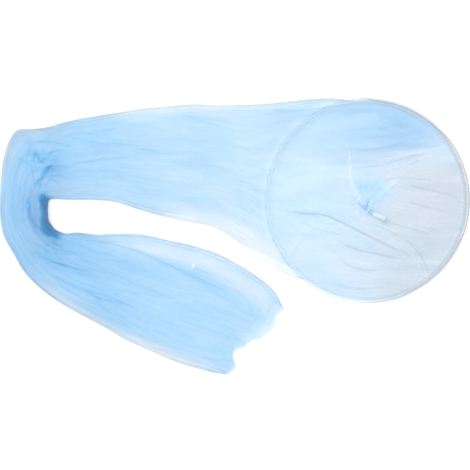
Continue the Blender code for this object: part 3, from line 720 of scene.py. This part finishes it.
# %% How many layers lie where
LAYERS_ALONG = np.array([
    # line of the route, layers in the middle there
    (-1.0, 1.08), (0, 1.02), (3, 0.90), (6, 1.18), (8, 1.36), (10, 1.3), (13, 1.27), (16, 1.32),
    (19, 1.55), (21, 1.53), (24, 1.18), (27, 1.10), (30, 1.06),
])


def layers_on(at, share, xy, seed):
    """Layers of net: more where the bundle is narrow, fewer at its edges but for a doubled
    selvedge, uneven in folds. Also the creases' rise and the painted grey shade of the net."""
    width = bundle_width(at)
    along = np.interp(at, LAYERS_ALONG[:, 0], LAYERS_ALONG[:, 1])
    from_edge = (1.0 - np.abs(share)) * width / 2.0
    selvedge = 1.5 * bell(from_edge, 2.6 * MM)
    edge = 0.84 + 0.16 * smooth(from_edge / (14 * MM)) + selvedge
    folds = 1.0 + 0.22 * noise(share * width / (30 * MM) + 0.15 * at, at * 0.45, seed)
    folds += 0.16 * noise(share * width / (12 * MM), at * 0.7, seed + 1)
    rise, denser = crease_field(xy, SKIRT_CREASES)
    tone = crease_field(xy, SKIRT_TONES)[1]
    # painted shade: greyer along the bundle's edges and in the places listed above
    painted_shade = 0.75 * bell(from_edge, 5 * MM) + crease_field(xy, SKIRT_PAINTED_SHADE)[1]
    return along * edge * folds * (1.0 + denser) * np.maximum(1.0 + tone, 0.2), rise, painted_shade


# %% From the hoop to the bundle
SEAM_OVER, SEAM_UNDER = (0.2935, 5.2 * MM), (0.2945, 1.2 * MM)  # radius and height
FLOOR_CLEARANCE = 0.8 * MM
SIDE_BULGE = 0.024


def run_out(t, share, over):
    """Places between the hoop (t is 0) and the bundle's first line (t is 1)."""
    part = (1.0 - share) / 2.0
    span = HOOP_LEAVES[1] - HOOP_LEAVES[0]
    angle = HOOP_LEAVES[0] + part * np.where(over, span, span - 2.0 * math.pi)
    outwards = hoop_direction(angle)
    start = outwards * np.where(over, SEAM_OVER[0], SEAM_UNDER[0])[:, None]
    start_z = np.where(over, SEAM_OVER[1], SEAM_UNDER[1])
    zeros = np.zeros(len(t))
    end, end_z = upper_side(zeros, share)
    ahead, _ = upper_side(zeros + 1.0, share)
    end = np.where(over[:, None], end, across_bundle(zeros, share))
    ahead = np.where(over[:, None], ahead, across_bundle(zeros + 1.0, share))
    end_z = np.where(over, end_z, FLOOR_CLEARANCE)
    onward = unit(ahead - end)
    # under the crown the net leaves the hoop leftwards, but not out through its rim
    leaving = np.tile(np.array([-1.0, 0.0]), (len(t), 1))
    excess = np.maximum((leaving * outwards).sum(1) + 0.2, 0.0) * ~over
    leaving = unit(leaving - outwards * excess[:, None])
    reach = np.abs(end[:, 0] - start[:, 0])[:, None]
    first = start + leaving * reach * 0.35
    first[:, 1] += SIDE_BULGE * np.maximum(share, 0.0) ** 4
    second = end - onward * reach * 0.45
    s, u = t[:, None], 1.0 - t[:, None]
    xy = start * u**3 + first * 3 * u * u * s + second * 3 * u * s * s + end * s**3
    z = start_z + (end_z - start_z) * smooth(t)
    crumple = noise(share * 14.0, t * 3.0, 31) * 2.2 + noise(share * 34.0, t * 5.0, 32) * 1.0
    z = z + np.where(over, crumple * MM * np.sin(math.pi * np.clip(t, 0, 1)), 0.0)
    return xy, z


# %% [markdown]
# The tube is drawn with enough rows for its creases to be soft, and no more. The first rows
# run out from the hoop and the rest follow the lines across the bundle.

# %% The outer net
OVER_SHARE, RUN_OUT_PART = 0.70, 0.10
LOWEST_OUTER, LOWEST_INNER = 0.3 * MM, 1.4 * MM


def outer_net(u, v):
    over = u <= OVER_SHARE
    back = 1.0 - 2.0 * (u - OVER_SHARE) / (1.0 - OVER_SHARE)
    share = np.clip(np.where(over, -1.0 + 2.0 * u / OVER_SHARE, back), -1.0, 1.0)
    t = v / RUN_OUT_PART
    at = np.clip((v - RUN_OUT_PART) / (1.0 - RUN_OUT_PART), 0.0, 1.0) * LAST_LINE
    xy, z = upper_side(at, share)
    floor_z = FLOOR_CLEARANCE + 0.5 * MM * (1.0 + noise(share * 9.0, at, 33))
    xy = np.where(over[:, None], xy, across_bundle(at, share)) + hem_reach(at, share)
    z = np.where(over, z, floor_z)
    near_hoop = t < 1.0
    run_xy, run_z = run_out(np.clip(t, 0.0, 1.0), share, over)
    xy = np.where(near_hoop[:, None], run_xy, xy)
    z = np.where(near_hoop, run_z, z)
    layers, rise, painted_shade = layers_on(at, share, xy, 41)
    z = np.where(over, z + rise * smooth(t * 2.0), z)
    # the hem is turned up, the lower side lies thinner, and the seam gathers the net
    hem = smooth((at - (LAST_LINE - 0.10)) / 0.10) * 1.1
    rightwards = smooth((xy[:, 0] + 0.25) / 0.5) * near_hoop
    below = (1.25 + 0.3 * (1.0 - np.abs(share))) * (1.0 - 0.75 * rightwards)
    seam_gathers = 1.0 + 0.8 * bell(t, 0.22) * near_hoop
    layers = np.where(over, layers * (1.0 + hem), below) * seam_gathers
    return from_hoop(xy, np.maximum(z, LOWEST_OUTER)), layers, painted_shade


skirt_net = net_sheet(
    "skirt_net", 260, 330, outer_net, (0.66, 1.98), net_blue, closed=True,
)
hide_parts("skirt")

# %% [markdown]
# ## Layers inside the bundle
#
# A real skirt is metres wide, and most of it lies inside the bundle. A few inner sheets
# stand for it. Each lies lower than the one above, keeps a little further from the edges,
# and ends a little before the hem, which gives the pale borders and the stepped hem.

# %% Inner layers
INNER_LAYERS = [
    # name, level, inset, first line, last line, layers, seed
    ("skirt_fold_low", 0.28, 0.005, -0.97, 29.88, 0.9, 51),
    ("skirt_fold_middle", 0.52, 0.03, -0.94, 29.58, 1.0, 61),
    ("skirt_fold_high", 0.76, 0.07, -0.90, 29.20, 1.0, 71),
]
INNER_START_HEIGHT = 1.6 * MM


def inner_net(level, inset, first, last, amount, seed):
    def place(u, v):
        share = -1.0 + 2.0 * u
        wavy = noise(share * 3.0, share * 0.0, seed + 5) * 0.22
        at = first + (last + wavy - first) * v
        on_route, near_hoop = np.maximum(at, 0.0), at < 0.0
        t = np.clip(1.0 + at, 0.0, 1.0)
        side = inset * (1.0 + 0.5 * noise(at * 0.5, at * 0.0 + np.sign(share), seed + 3))
        xy, z = upper_side(on_route, share, level, side)
        run_xy, run_z = run_out(t, share * (1.0 - side), np.full(len(u), True))
        run_z = INNER_START_HEIGHT + (run_z - INNER_START_HEIGHT) * level
        xy = np.where(near_hoop[:, None], run_xy, xy) + hem_reach(at, share)
        layers, rise, painted_shade = layers_on(on_route, share, xy, seed)
        z = np.where(near_hoop, run_z, z) + rise * level
        fade = 0.55 * smooth((at - first) / 0.25) + 0.45 * smooth((at - first) / 3.0)
        # the inner layers carry less of the painted grey shade
        return from_hoop(xy, np.maximum(z, LOWEST_INNER)), layers * amount * fade, painted_shade * 0.4
    return place


for name, *settings in INNER_LAYERS:
    piece = net_sheet(name, 130, 260, inner_net(*settings), (0.28, 1.80), net_inner)

# %% [markdown]
# ## The fold under the crown
#
# On the upper right the skirt is tucked under the hoop, so a long fold of it lies under the
# crown and makes that part of the disc bluer. It runs left and joins the bundle.

# %% The tucked fold
TUCK_LOWER = np.array([
    (246, 156), (153, 142), (18, 110), (-56, 107),
    (-141, 101), (-235, 107), (-310, 122), (-374, 140),
]) * MM
TUCK_UPPER = np.array([
    (250, 160), (205, 205), (120, 262), (30, 286),
    (-70, 284), (-170, 270), (-280, 268), (-374, 268),
]) * MM
TUCK_HEIGHT, TUCK_LAYERS = 3.4 * MM, 2.8


def tucked_net(u, v):
    last = len(TUCK_LOWER) - 1
    low, high = curve_at(TUCK_LOWER, v * last), curve_at(TUCK_UPPER, v * last)
    across = u + 0.03 * noise(v * 6.0, u * 3.0, 81) * np.sin(math.pi * u)
    xy = low + (high - low) * across[:, None]
    z = TUCK_HEIGHT + 1.1 * MM * noise(u * 7.0 + v, v * 5.0, 82)
    z = z + 0.8 * MM * noise(u * 18.0, v * 7.0, 83)
    edge = 0.3 + 0.7 * smooth(u / (0.12 + 0.75 * smooth(v / 0.5)))
    folds = 1.0 + 0.3 * noise(u * 6.0 + v * 1.5, v * 4.0, 84)
    starts = 0.12 + 0.88 * smooth(v / 0.28)
    thins = (0.5 + 0.5 * smooth((0.72 - v) / 0.3)) * (1.0 - 0.9 * smooth((v - 0.78) / 0.2))
    # painted shade: the tucked fold gets an even share of grey
    return from_hoop(xy, z), TUCK_LAYERS * edge * folds * thins * starts, np.full(len(u), 0.3)


skirt_tuck = net_sheet("skirt_tuck", 80, 160, tucked_net, (0.13, 0.64), net_inner)

# %% [markdown]
# ## The crown
#
# The round top is cut wider than the hoop and drawn together in the middle, where it is
# tied, so soft gathers run out from the knot. The knot has flopped over towards the lower
# right. The net is drawn as rings: over the casing at the rim, nearly flat across, up at
# the middle and along the neck.

# %% The crown's net
CROWN_RINGS = np.array([
    # radius, height
    (291.5, 16.2), (287.0, 15.2), (280.0, 13.6), (266, 12.1), (240, 10.8), (210, 10.2), (178, 10.2),
    (146, 10.4), (114, 11.0), (84, 12.0), (56, 13.4), (36, 15.6), (25, 19.0),
]) * MM
NECK = np.array([
    # x, y, height, radius
    (-12, 4, 19.5, 21.5), (-11, -10, 27.0, 12.0), (-5, -24, 30.5, 7.0), (6, -33, 30.0, 6.0),
    (14, -38, 28.5, 6.8), (17, -40, 27.8, 5.6), (18, -40.5, 27.6, 1.5),
]) * MM
CROWN_FOLDS = [
    # middle x, y, turn in degrees, length, half width, rise
    (70, 168, 6, 330, 20, 9.0), (20, 232, -4, 250, 18, 7.0), (150, 70, -4, 190, 17, 6.0),
    (-150, 88, 2, 200, 18, 5.0), (-95, -34, -14, 240, 16, 6.0), (110, -110, -25, 220, 18, 8.0),
    (-30, -150, -18, 230, 20, 6.5), (60, -222, 6, 210, 18, 5.5),
]
DISC_PART = 0.86  # the share of the net that lies flat; the rest runs up the neck
GATHERS = 17.0
KNOT_OFFSET = np.array([-8.0, -2.0]) * MM
KNOT_FOOT = np.array([-3.0, -24.0]) * MM


def crown_rise(xy):
    """The crown's broad soft folds."""
    rise = np.zeros(len(xy))
    for x, y, turn, length, width, height in CROWN_FOLDS:
        turn = math.radians(turn)
        dx, dy = xy[:, 0] - x * MM, xy[:, 1] - y * MM
        along = dx * math.cos(turn) + dy * math.sin(turn)
        across = -dx * math.sin(turn) + dy * math.cos(turn)
        ends = np.maximum(0.0, 1.0 - (2.0 * along / (length * MM)) ** 2)
        rise += height * MM * ends * bell(across, width * MM)
    return rise


def blue_wedge(xy):
    """Two tapes spread the net above the knot, and what lies doubled between them is bluer."""
    dx, dy = (xy - KNOT_FOOT).T
    turn, reach = np.degrees(np.arctan2(dy, dx)), np.hypot(dx, dy)
    between = smooth((turn - 18.0) / 14.0) * smooth((121.0 - turn) / 10.0)
    return between * smooth((0.112 - reach) / 0.045) * (0.62 + 0.38 * smooth(reach / 0.05))


def eased(angle):
    """The small even puckers of cloth that is eased round the ring."""
    return np.sin(150.0 * angle + 3.0 * np.sin(7.0 * angle))


def neck_places(angle, neck):
    """Places round the gathered neck, which rises from the crown and then leans over."""
    middle_line = curve_at(NECK, neck)
    ahead = curve_at(NECK, np.minimum(neck + 0.2, len(NECK) - 1.0))
    behind = curve_at(NECK, np.maximum(neck - 0.2, 0.0))
    up = np.array([0.0, 0.0, 1.0])
    onward = unit(up + (unit((ahead - behind)[:, :3]) - up) * smooth(neck / 1.2)[:, None])
    side = unit(np.array([1.0, 0.0, 0.0]) - onward * onward[:, :1])
    top = np.cross(onward, side)
    pleats = np.cos(GATHERS * angle + 0.9 * np.sin(3.0 * angle))
    pleated = 1.0 + 0.16 * pleats * smooth(neck / 0.7)
    around = side * np.cos(angle)[:, None] + top * np.sin(angle)[:, None]
    return middle_line[:, :3] + around * (middle_line[:, 3] * pleated)[:, None]


def crown_net_place(u, v):
    angle = 2.0 * math.pi * u
    ring = np.clip(v / DISC_PART, 0.0, 1.0) ** 0.85 * (len(CROWN_RINGS) - 1)
    radius, height = curve_at(CROWN_RINGS, ring).T
    inwards = smooth(1.0 - radius / 0.2815)
    xy = hoop_direction(angle) * radius[:, None] + KNOT_OFFSET * inwards[:, None]
    middle = bell(radius, 52 * MM)
    gather = np.cos(GATHERS * angle + 0.9 * np.sin(3.0 * angle) + 0.7 * np.sin(5.0 * angle))
    gather += 0.6 * np.cos(29.0 * angle + 2.0 * np.sin(2.0 * angle))
    loose = smooth((0.281 - radius) / 0.03) * smooth((radius - 0.03) / 0.03)
    rise, denser = crease_field(xy, CROWN_CREASES)
    soft = noise(xy[:, 0] / 0.06, xy[:, 1] / 0.03, 91) * 1.4 * MM
    z = height + gather * middle * 0.9 * MM + loose * (crown_rise(xy) * 0.9 + rise + soft)
    pucker = bell(radius - 0.288, 0.010)
    z = z + pucker * 0.5 * MM * eased(angle)
    wedge = blue_wedge(xy)
    layers = 1.75 + 0.1 * middle + 0.12 * gather * middle + denser * 2.6
    layers *= 1.0 + crease_field(xy, CROWN_TONES)[1]
    layers *= 0.8 + 0.2 * smooth((0.289 - radius) / 0.016)
    layers *= 1.0 + 0.16 * noise(xy[:, 0] / 0.09 + 3.0, xy[:, 1] / 0.02, 92)
    # the last part of the net runs up the neck
    on_neck = v > DISC_PART
    neck = np.clip((v - DISC_PART) / (1.0 - DISC_PART), 0.0, 1.0) * (len(NECK) - 1)
    places = np.where(on_neck[:, None], neck_places(angle, neck), np.column_stack([xy, z]))
    neck_layers = (1.4 + 0.3 * gather) * (1.0 - 0.8 * smooth((neck - 2.6) / 1.0))
    layers = np.where(on_neck, neck_layers, layers)
    layers *= (1.0 + 0.16 * smooth((xy[:, 0] + 0.02) / 0.2)) * (1.0 + 0.68 * wedge)
    # painted shade: greyer to the right, towards the bottom and in the creases, less in the blue
    # wedge, fading out towards the top and none on the neck
    painted_shade = 0.25 + 0.75 * smooth((xy[:, 0] + 0.16) / 0.36)
    painted_shade = painted_shade + 0.15 * smooth((-0.05 - xy[:, 1]) / 0.2)
    painted_shade = np.clip(painted_shade + denser - wedge, 0.0, 1.0) * smooth((0.24 - xy[:, 1]) / 0.2)
    return from_hoop(places[:, :2], places[:, 2]), layers, painted_shade * ~on_neck


crown_net = net_sheet(
    "crown_net", 470, 200, crown_net_place, (1.84, 0.33), net_crown,
    closed=True, plan=True,
)
crown_net.visible_shadow = False
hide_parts("crown")

# %% [markdown]
# ## Woven tape and coated wire
#
# The tapes and ribbons are narrow plain weave: threads both ways, a little uneven in tone.
# The weave is drawn in the tape's own UV map, so it follows each bend. The wire has no such
# map and keeps its solid, so its coat is drawn in the object's own coordinates.

# %% Finishes of tapes and wire


def woven_material(
    name, colour, pale, pitch=0.5 * MM, roughness=0.6, alpha=1.0, painted_glow=0.0, on_solid=False,
):
    """Woven tape: threads along and across, or a fine grain when it is on a solid."""
    material, tree, shader = new_material(name)
    if on_solid:
        place, shown = add_node(tree, "TexCoord").outputs["Object"], alpha
    else:
        place = add_node(tree, "UVMap", uv_map="cloth").outputs["UV"]
        shown = math_node(tree, "MULTIPLY", attribute(tree, "layers"), alpha)
    rows = []
    for turn in (0.0, math.pi / 2):
        turned = add_node(tree, "Mapping", Rotation=(0.0, 0.0, turn), Vector=place).outputs[0]
        wave = add_node(tree, "TexWave", Scale=ONE_BAND / pitch, Distortion=0.4, Vector=turned)
        rows.append(wave.outputs["Fac"])
    weave = math_node(tree, "MULTIPLY", *rows)
    patches = add_node(tree, "TexNoise", Scale=60.0, Vector=place).outputs["Fac"]
    halves = [math_node(tree, "MULTIPLY", part, 0.5) for part in (weave, patches)]
    tone = math_node(tree, "ADD", *halves)
    bump = add_node(tree, "Bump", Strength=0.5, Distance=0.2 * MM, Height=weave)
    # painted light: the tape glows a little in its pale colour
    set_up(
        tree, shader, Base_Color=colour_by(tree, tone, ((0.1, colour), (0.8, pale))),
        Normal=bump.outputs["Normal"], Sheen_Weight=0.2, Alpha=shown,
        Roughness=math_node(tree, "MULTIPLY_ADD", patches, 0.2, roughness - 0.1),
        Emission_Color=(*pale, 1.0), Emission_Strength=painted_glow,
    )
    return material


RIBBON_COLOURS = (0.62, 0.80, 0.93), (0.80, 0.91, 0.98)
TAPE_COLOURS = (0.86, 0.93, 0.98), (0.96, 0.98, 1.0)
FAINT_COLOURS = (0.90, 0.95, 0.99), (1.0, 1.0, 1.0)
THREAD_COLOURS = (0.66, 0.78, 0.88), (0.86, 0.92, 0.97)
WIRE_COLOURS = (0.60, 0.64, 0.66), (0.76, 0.80, 0.82)
# the ribbon, the dot and the tapes glow a little: painted light
ribbon_finish = woven_material("ribbon_bluish_white", *RIBBON_COLOURS, alpha=0.5, painted_glow=0.12)
dot_finish = woven_material("dot_bluish_white", *RIBBON_COLOURS, alpha=0.8, painted_glow=0.12)
tape_finish = woven_material("tape_sheer_white", *TAPE_COLOURS, alpha=0.19, painted_glow=0.22)
tape_faint = woven_material("tape_sheer_faint", *FAINT_COLOURS, alpha=0.10, painted_glow=0.2)
thread_finish = woven_material("sewing_thread", *THREAD_COLOURS, pitch=0.3 * MM, alpha=0.7)
wire_finish = woven_material(
    "wire_pale_coat", *WIRE_COLOURS, pitch=0.7 * MM, roughness=0.4, alpha=0.07, on_solid=True,
)
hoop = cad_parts["hoop"]
hoop.data.materials.clear()
hoop.data.materials.append(wire_finish)

# %% [markdown]
# ## The casing
#
# A strip of sheer tape is folded round the wire and its two edges are sewn together inside
# the ring, where they also hold the crown and the skirt. It was eased round a circle, so it
# puckers slightly. From above its fold shows as a thin line, painted darker and greyer on
# the right as painted shade.

# %% The casing's tape
CASING_HEIGHT = 11.3 * MM
CASING_LINE = np.array([
    # radius, height over the wire's middle and layers, from one edge of the tape to the other
    (282.5, 1.1, 0.35), (285.5, 1.0, 0.35), (288.5, 1.3, 0.40), (290.6, 2.6, 0.5),
    (292.6, 3.9, 0.65), (295.4, 4.3, 0.7), (297.6, 3.8, 0.8), (298.7, 3.1, 1.6),
    (299.5, 1.8, 4.5), (299.9, 0.0, 5.5), (299.5, -1.8, 4.0), (298.7, -3.1, 0.9),
    (297.6, -3.8, 0.4), (295.4, -4.3, 0.3), (292.6, -3.9, 0.3), (290.6, -2.6, 0.3),
    (288.5, -1.3, 0.25), (285.5, -1.0, 0.2), (282.5, -1.1, 0.2),
])
CASING_COLOURS = (
    (0.0, (0.50, 0.73, 0.90)),
    (0.30, (0.44, 0.66, 0.84)),
    (0.55, (0.24, 0.44, 0.60)),
    (1.0, (0.15, 0.30, 0.44)),
)
# the grey that the painted shade mixes into the casing
CASING_SHADE_GREY = (0.26, 0.29, 0.33)


def casing_place(u, v):
    angle = 2.0 * math.pi * v
    radius, height, layers = curve_at(CASING_LINE, u * (len(CASING_LINE) - 1)).T
    flap = smooth((291.0 - radius) / 8.0)
    pucker = eased(angle) + 0.5 * np.sin(237.0 * angle)
    radius = radius + 0.12 * pucker * (1.0 - flap)
    height = height * (1.0 + 0.04 * pucker) + 0.18 * pucker * flap
    places = from_hoop(hoop_direction(angle) * (radius * MM)[:, None], CASING_HEIGHT + height * MM)
    # painted shade: on the right the tape is painted denser and greyer, and on the left paler
    right_side = smooth((np.cos(angle - 0.1) + 0.25) / 0.45)
    # on the upper right and the lower right the darker line runs up to 6.5 mm further in
    moves_in = 6.5 * smooth((np.cos(angle - math.radians(64)) - 0.86) / 0.10)
    moves_in += 4.0 * smooth((np.cos(angle + math.radians(45)) - 0.86) / 0.10)
    moved = np.clip(moves_in / 4.0, 0.0, 1.0)
    layers = layers * (1.0 - 0.85 * moved * smooth((layers - 0.8) / 1.5))
    layers = layers * (1.0 + 0.3 * right_side * smooth((296.0 - radius) / 4.0) * (layers < 1.0))
    moved_line = bell(radius - 299.0 + moves_in, 1.5) * (height > 0.0)
    layers = layers + moved * 2.4 * moved_line
    on_line = smooth((layers - 0.8) / 1.5)
    layers = np.maximum(layers, 0.08) * (1.0 + 0.1 * pucker)
    layers = layers * (1.0 - 0.25 * (1.0 - right_side) * on_line) * (0.45 + 0.55 * right_side)
    return places, layers, right_side * (0.55 + 0.45 * on_line)


net_casing = net_material("casing_tape_sheer", 0.26, CASING_COLOURS, CASING_SHADE_GREY, 0.25, 9.0)
casing = net_sheet(
    "casing", 48, 900, casing_place, (0.043, 1.86), net_casing, closed=True,
)
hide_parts("hoop_casing")

# %% [markdown]
# ## Tapes, ribbon loop, band and dot
#
# These are straps with a thickness: a rounded flat section that is carried along a line.
# Four narrow tapes lie loose under the crown, from its knot to the casing. The band is
# wound round the gathered neck, and the ribbon loop hangs out of the neck's end.

# %% A strap along a line


def strap(name, node, line, sides, width, thickness, material, rows, ripple, fades=1.0):
    """A flat strap along the line; sides point across it, and its faces follow its bends.
    Beyond the share given as fades it shows less."""
    ups = unit(np.cross(unit(np.gradient(line, axis=0)), sides))
    lengths = np.concatenate([[0.0], np.cumsum(np.linalg.norm(np.diff(line, axis=0), axis=1))])

    def place(u, v):
        cos, sin = hoop_direction(2.0 * math.pi * u).T
        across = np.sign(cos) * np.abs(cos) ** 0.45 * width / 2
        up = np.sign(sin) * np.abs(sin) ** 0.55 * thickness / 2
        at = np.interp(v * lengths[-1], lengths, np.arange(len(line), dtype=float))
        wave = ripple * noise(v * lengths[-1] / (9 * MM), across / (4 * MM), len(name))
        wave = wave * np.sin(math.pi * np.clip(v, 0, 1))
        places = curve_at(line, at) + curve_at(sides, at) * across[:, None]
        places = places + curve_at(ups, at) * (up + wave)[:, None]
        return places, 1.0 - 0.75 * smooth((v - fades) / 0.1), np.zeros(len(u))

    flat = (2.1 * width, lengths[-1])
    piece = net_sheet(name, 20, rows, place, flat, material, closed=True)
    bm = bmesh.new()
    bm.from_mesh(piece.data)
    bmesh.ops.holes_fill(bm, edges=bm.edges, sides=0)
    bmesh.ops.recalc_face_normals(bm, faces=bm.faces)
    bm.to_mesh(piece.data)
    bm.free()
    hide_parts(node)


# %% Support tapes
TAPE_LOW, TAPE_AT_RIM, TAPE_RISES_OVER, TAPE_END = 7.7, 10.55, 38.0, 281.6
TAPES = [
    # end of the name, angle at the rim in degrees, share after which it fades, finish, way
    ("right", 34.0, 0.38, tape_finish, [(30, 10), (100, 69), (150, 108), (205, 140)]),
    ("top", 121.0, 0.60, tape_finish, [(-32, 22), (-47, 60), (-50, 112), (-58, 158), (-100, 202)]),
    ("left", 214.0, 1.0, tape_faint, [(-46, -44), (-118, -66), (-180, -96)]),
    ("bottom", 308.0, 1.0, tape_faint, [(34, -64), (90, -115), (140, -160)]),
]
HUB = np.array([-3.0, -16.0])
for where, rim_angle, fades, finish, way in TAPES:
    outwards = hoop_direction(np.radians([rim_angle]))[0]
    end = outwards * TAPE_END
    start = [HUB + outwards * 3.8, HUB + outwards * 15.4]
    route = np.array([*start, *way, end - outwards * 12.0, end])
    fine = curve_at(route, np.linspace(0.0, len(route) - 1.0, 90))
    rise = smooth(1.0 - np.linalg.norm(end - fine, axis=1) / TAPE_RISES_OVER)
    height = TAPE_LOW + (TAPE_AT_RIM - TAPE_LOW) * rise
    onward = unit(np.gradient(fine, axis=0))
    sides = np.column_stack([-onward[:, 1], onward[:, 0], np.zeros(len(fine))])
    strap(
        f"tape_{where}", f"support_tape_{where}", from_hoop(fine * MM, height * MM), sides,
        6 * MM, 0.8 * MM, finish, 140, 0.25 * MM, fades,
    )

# %% The ribbon loop
LOOP_HEADING, LOOP_REACH, LOOP_FALL = math.radians(-24), 35.0 * MM, 8.0 * MM
LOOP_RADIUS, LOOP_CLOSED, HALF_RIBBON = 5.0 * MM, 0.65 * MM, 5.0 * MM
UP = np.array([0.0, 0.0, 1.0])
loop_low, loop_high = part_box("hanging_loop")
loop_onward = np.array([math.cos(LOOP_HEADING), math.sin(LOOP_HEADING), 0.0])
loop_side = np.array([-loop_onward[1], loop_onward[0], 0.0])
loop_root = np.array([
    loop_low.x + HALF_RIBBON * abs(loop_side[0]),
    loop_high.y - HALF_RIBBON * abs(loop_side[1]),
    loop_low.z + LOOP_FALL + LOOP_RADIUS + 0.5 * MM,
])
loop_far = loop_root + loop_onward * LOOP_REACH - UP * LOOP_FALL
opened = smooth(np.linspace(0.0, 1.2, 9)[:-1])
loop_spread = UP * (LOOP_CLOSED + (LOOP_RADIUS - LOOP_CLOSED) * opened)[:, None]
loop_run = loop_root + (loop_far - loop_root) * np.linspace(0.0, 1.0, 9)[:-1, None]
bend = np.linspace(math.pi / 2, -math.pi / 2, 12)[:, None]
loop_bend = loop_far + (loop_onward * np.cos(bend) + UP * np.sin(bend)) * LOOP_RADIUS
loop_line = np.concatenate([loop_run + loop_spread, loop_bend, (loop_run - loop_spread)[::-1]])
strap(
    "ribbon_loop", "hanging_loop", loop_line, np.tile(loop_side, (len(loop_line), 1)),
    2 * HALF_RIBBON, 1.0 * MM, ribbon_finish, 120, 0.2 * MM,
)

# %% The band round the neck
BAND_RADIUS, BAND_WIDTH, BAND_TURNS = 8.9 * MM, 6.6 * MM, 3
band_low, band_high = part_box("crown_binding")
band_middle = np.array((band_low + band_high) / 2)
neck_onward = unit((NECK[3:4] - NECK[2:3])[:, :3])[0]
neck_side = unit(np.cross(neck_onward, UP)[None])[0]
neck_top = np.cross(neck_side, neck_onward)
wound = np.linspace(0.0, BAND_TURNS, 36 * BAND_TURNS + 1)
turn = 2.0 * math.pi * wound[:, None]
round_neck = (neck_side * np.cos(turn) + neck_top * np.sin(turn)) * BAND_RADIUS
along_neck = (wound / BAND_TURNS - 0.5) * BAND_WIDTH * 0.62
band_line = band_middle + round_neck + neck_onward * along_neck[:, None]
strap(
    "neck_band", "crown_binding", band_line, np.tile(neck_onward, (len(band_line), 1)),
    BAND_WIDTH * 0.38, 1.3 * MM, ribbon_finish, 180, 0.1 * MM,
)

# %% The dot
dot_low, dot_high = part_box("sewn_dot")
dot_middle, dot_size = np.array((dot_low + dot_high) / 2), np.array(dot_high - dot_low)
DOT_OUTLINE = np.array([
    # radius and height as shares of the dot's, from its underside over its rim to its top
    (0.0, 0.02), (0.55, 0.02), (0.88, 0.0), (0.99, 0.22), (0.93, 0.5), (0.72, 0.78), (0.42, 0.95),
    (0.16, 0.98), (0.0, 0.86),
])


def dot_place(u, v):
    angle = 2.0 * math.pi * u
    radius, height = curve_at(DOT_OUTLINE, v * (len(DOT_OUTLINE) - 1)).T
    felted = 1.0 + 0.04 * noise(3.0 * np.cos(angle) + 5.0, 3.0 * np.sin(angle) + v * 4.0, 95)
    reach = np.maximum(radius, 0.0) * felted * dot_size[0] / 2
    xy = hoop_direction(angle) * reach[:, None] + dot_middle[:2]
    places = np.column_stack([xy, dot_low.z + np.clip(height, 0.0, 1.0) * dot_size[2]])
    return places, np.ones(len(u)), np.zeros(len(u))


dot = net_sheet("dot", 32, 24, dot_place, (0.03, 0.012), dot_finish, closed=True)
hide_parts("sewn_dot")

# %% [markdown]
# ## The seam round the crown
#
# The crown, the skirt and both edges of the casing are sewn together in one round of
# stitches. Each stitch is a short straight piece of thread.

# %% Stitches
STITCH_COUNT, STITCH_RADIUS, STITCH_REACH, STITCH_THICKNESS = 420, 285.6 * MM, 1.5 * MM, 0.28 * MM
stitches = bmesh.new()
stitches.loops.layers.uv.new("cloth")
seam_height = np.interp(STITCH_RADIUS, *CROWN_RINGS[::-1].T) + 0.35 * MM
for i in range(STITCH_COUNT):
    angle = 2.0 * math.pi * (i + 0.12 * math.sin(i * 2.3)) / STITCH_COUNT
    made = bmesh.ops.create_cone(
        stitches, cap_ends=True, segments=6, depth=2.0 * STITCH_REACH,
        radius1=STITCH_THICKNESS, radius2=STITCH_THICKNESS,
    )
    onward = Vector((-math.sin(angle), math.cos(angle), 0.05 * math.sin(i * 1.7)))
    turn = onward.to_track_quat("Z", "Y").to_matrix().to_4x4()
    bmesh.ops.transform(stitches, matrix=turn, verts=made["verts"])
    spot = hoop_direction(np.array([angle]))[0] * STITCH_RADIUS + hoop_middle
    bmesh.ops.translate(stitches, vec=(spot[0], spot[1], seam_height), verts=made["verts"])
seam_data = mesh_from("crown_seam", stitches)
seam_data.shade_smooth()
one_layer = seam_data.attributes.new("layers", "FLOAT", "POINT")
one_layer.data.foreach_set("value", np.ones(len(seam_data.vertices)))
seam = object_from(seam_data, thread_finish)
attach(seam, "root")
print("stitches:", STITCH_COUNT)
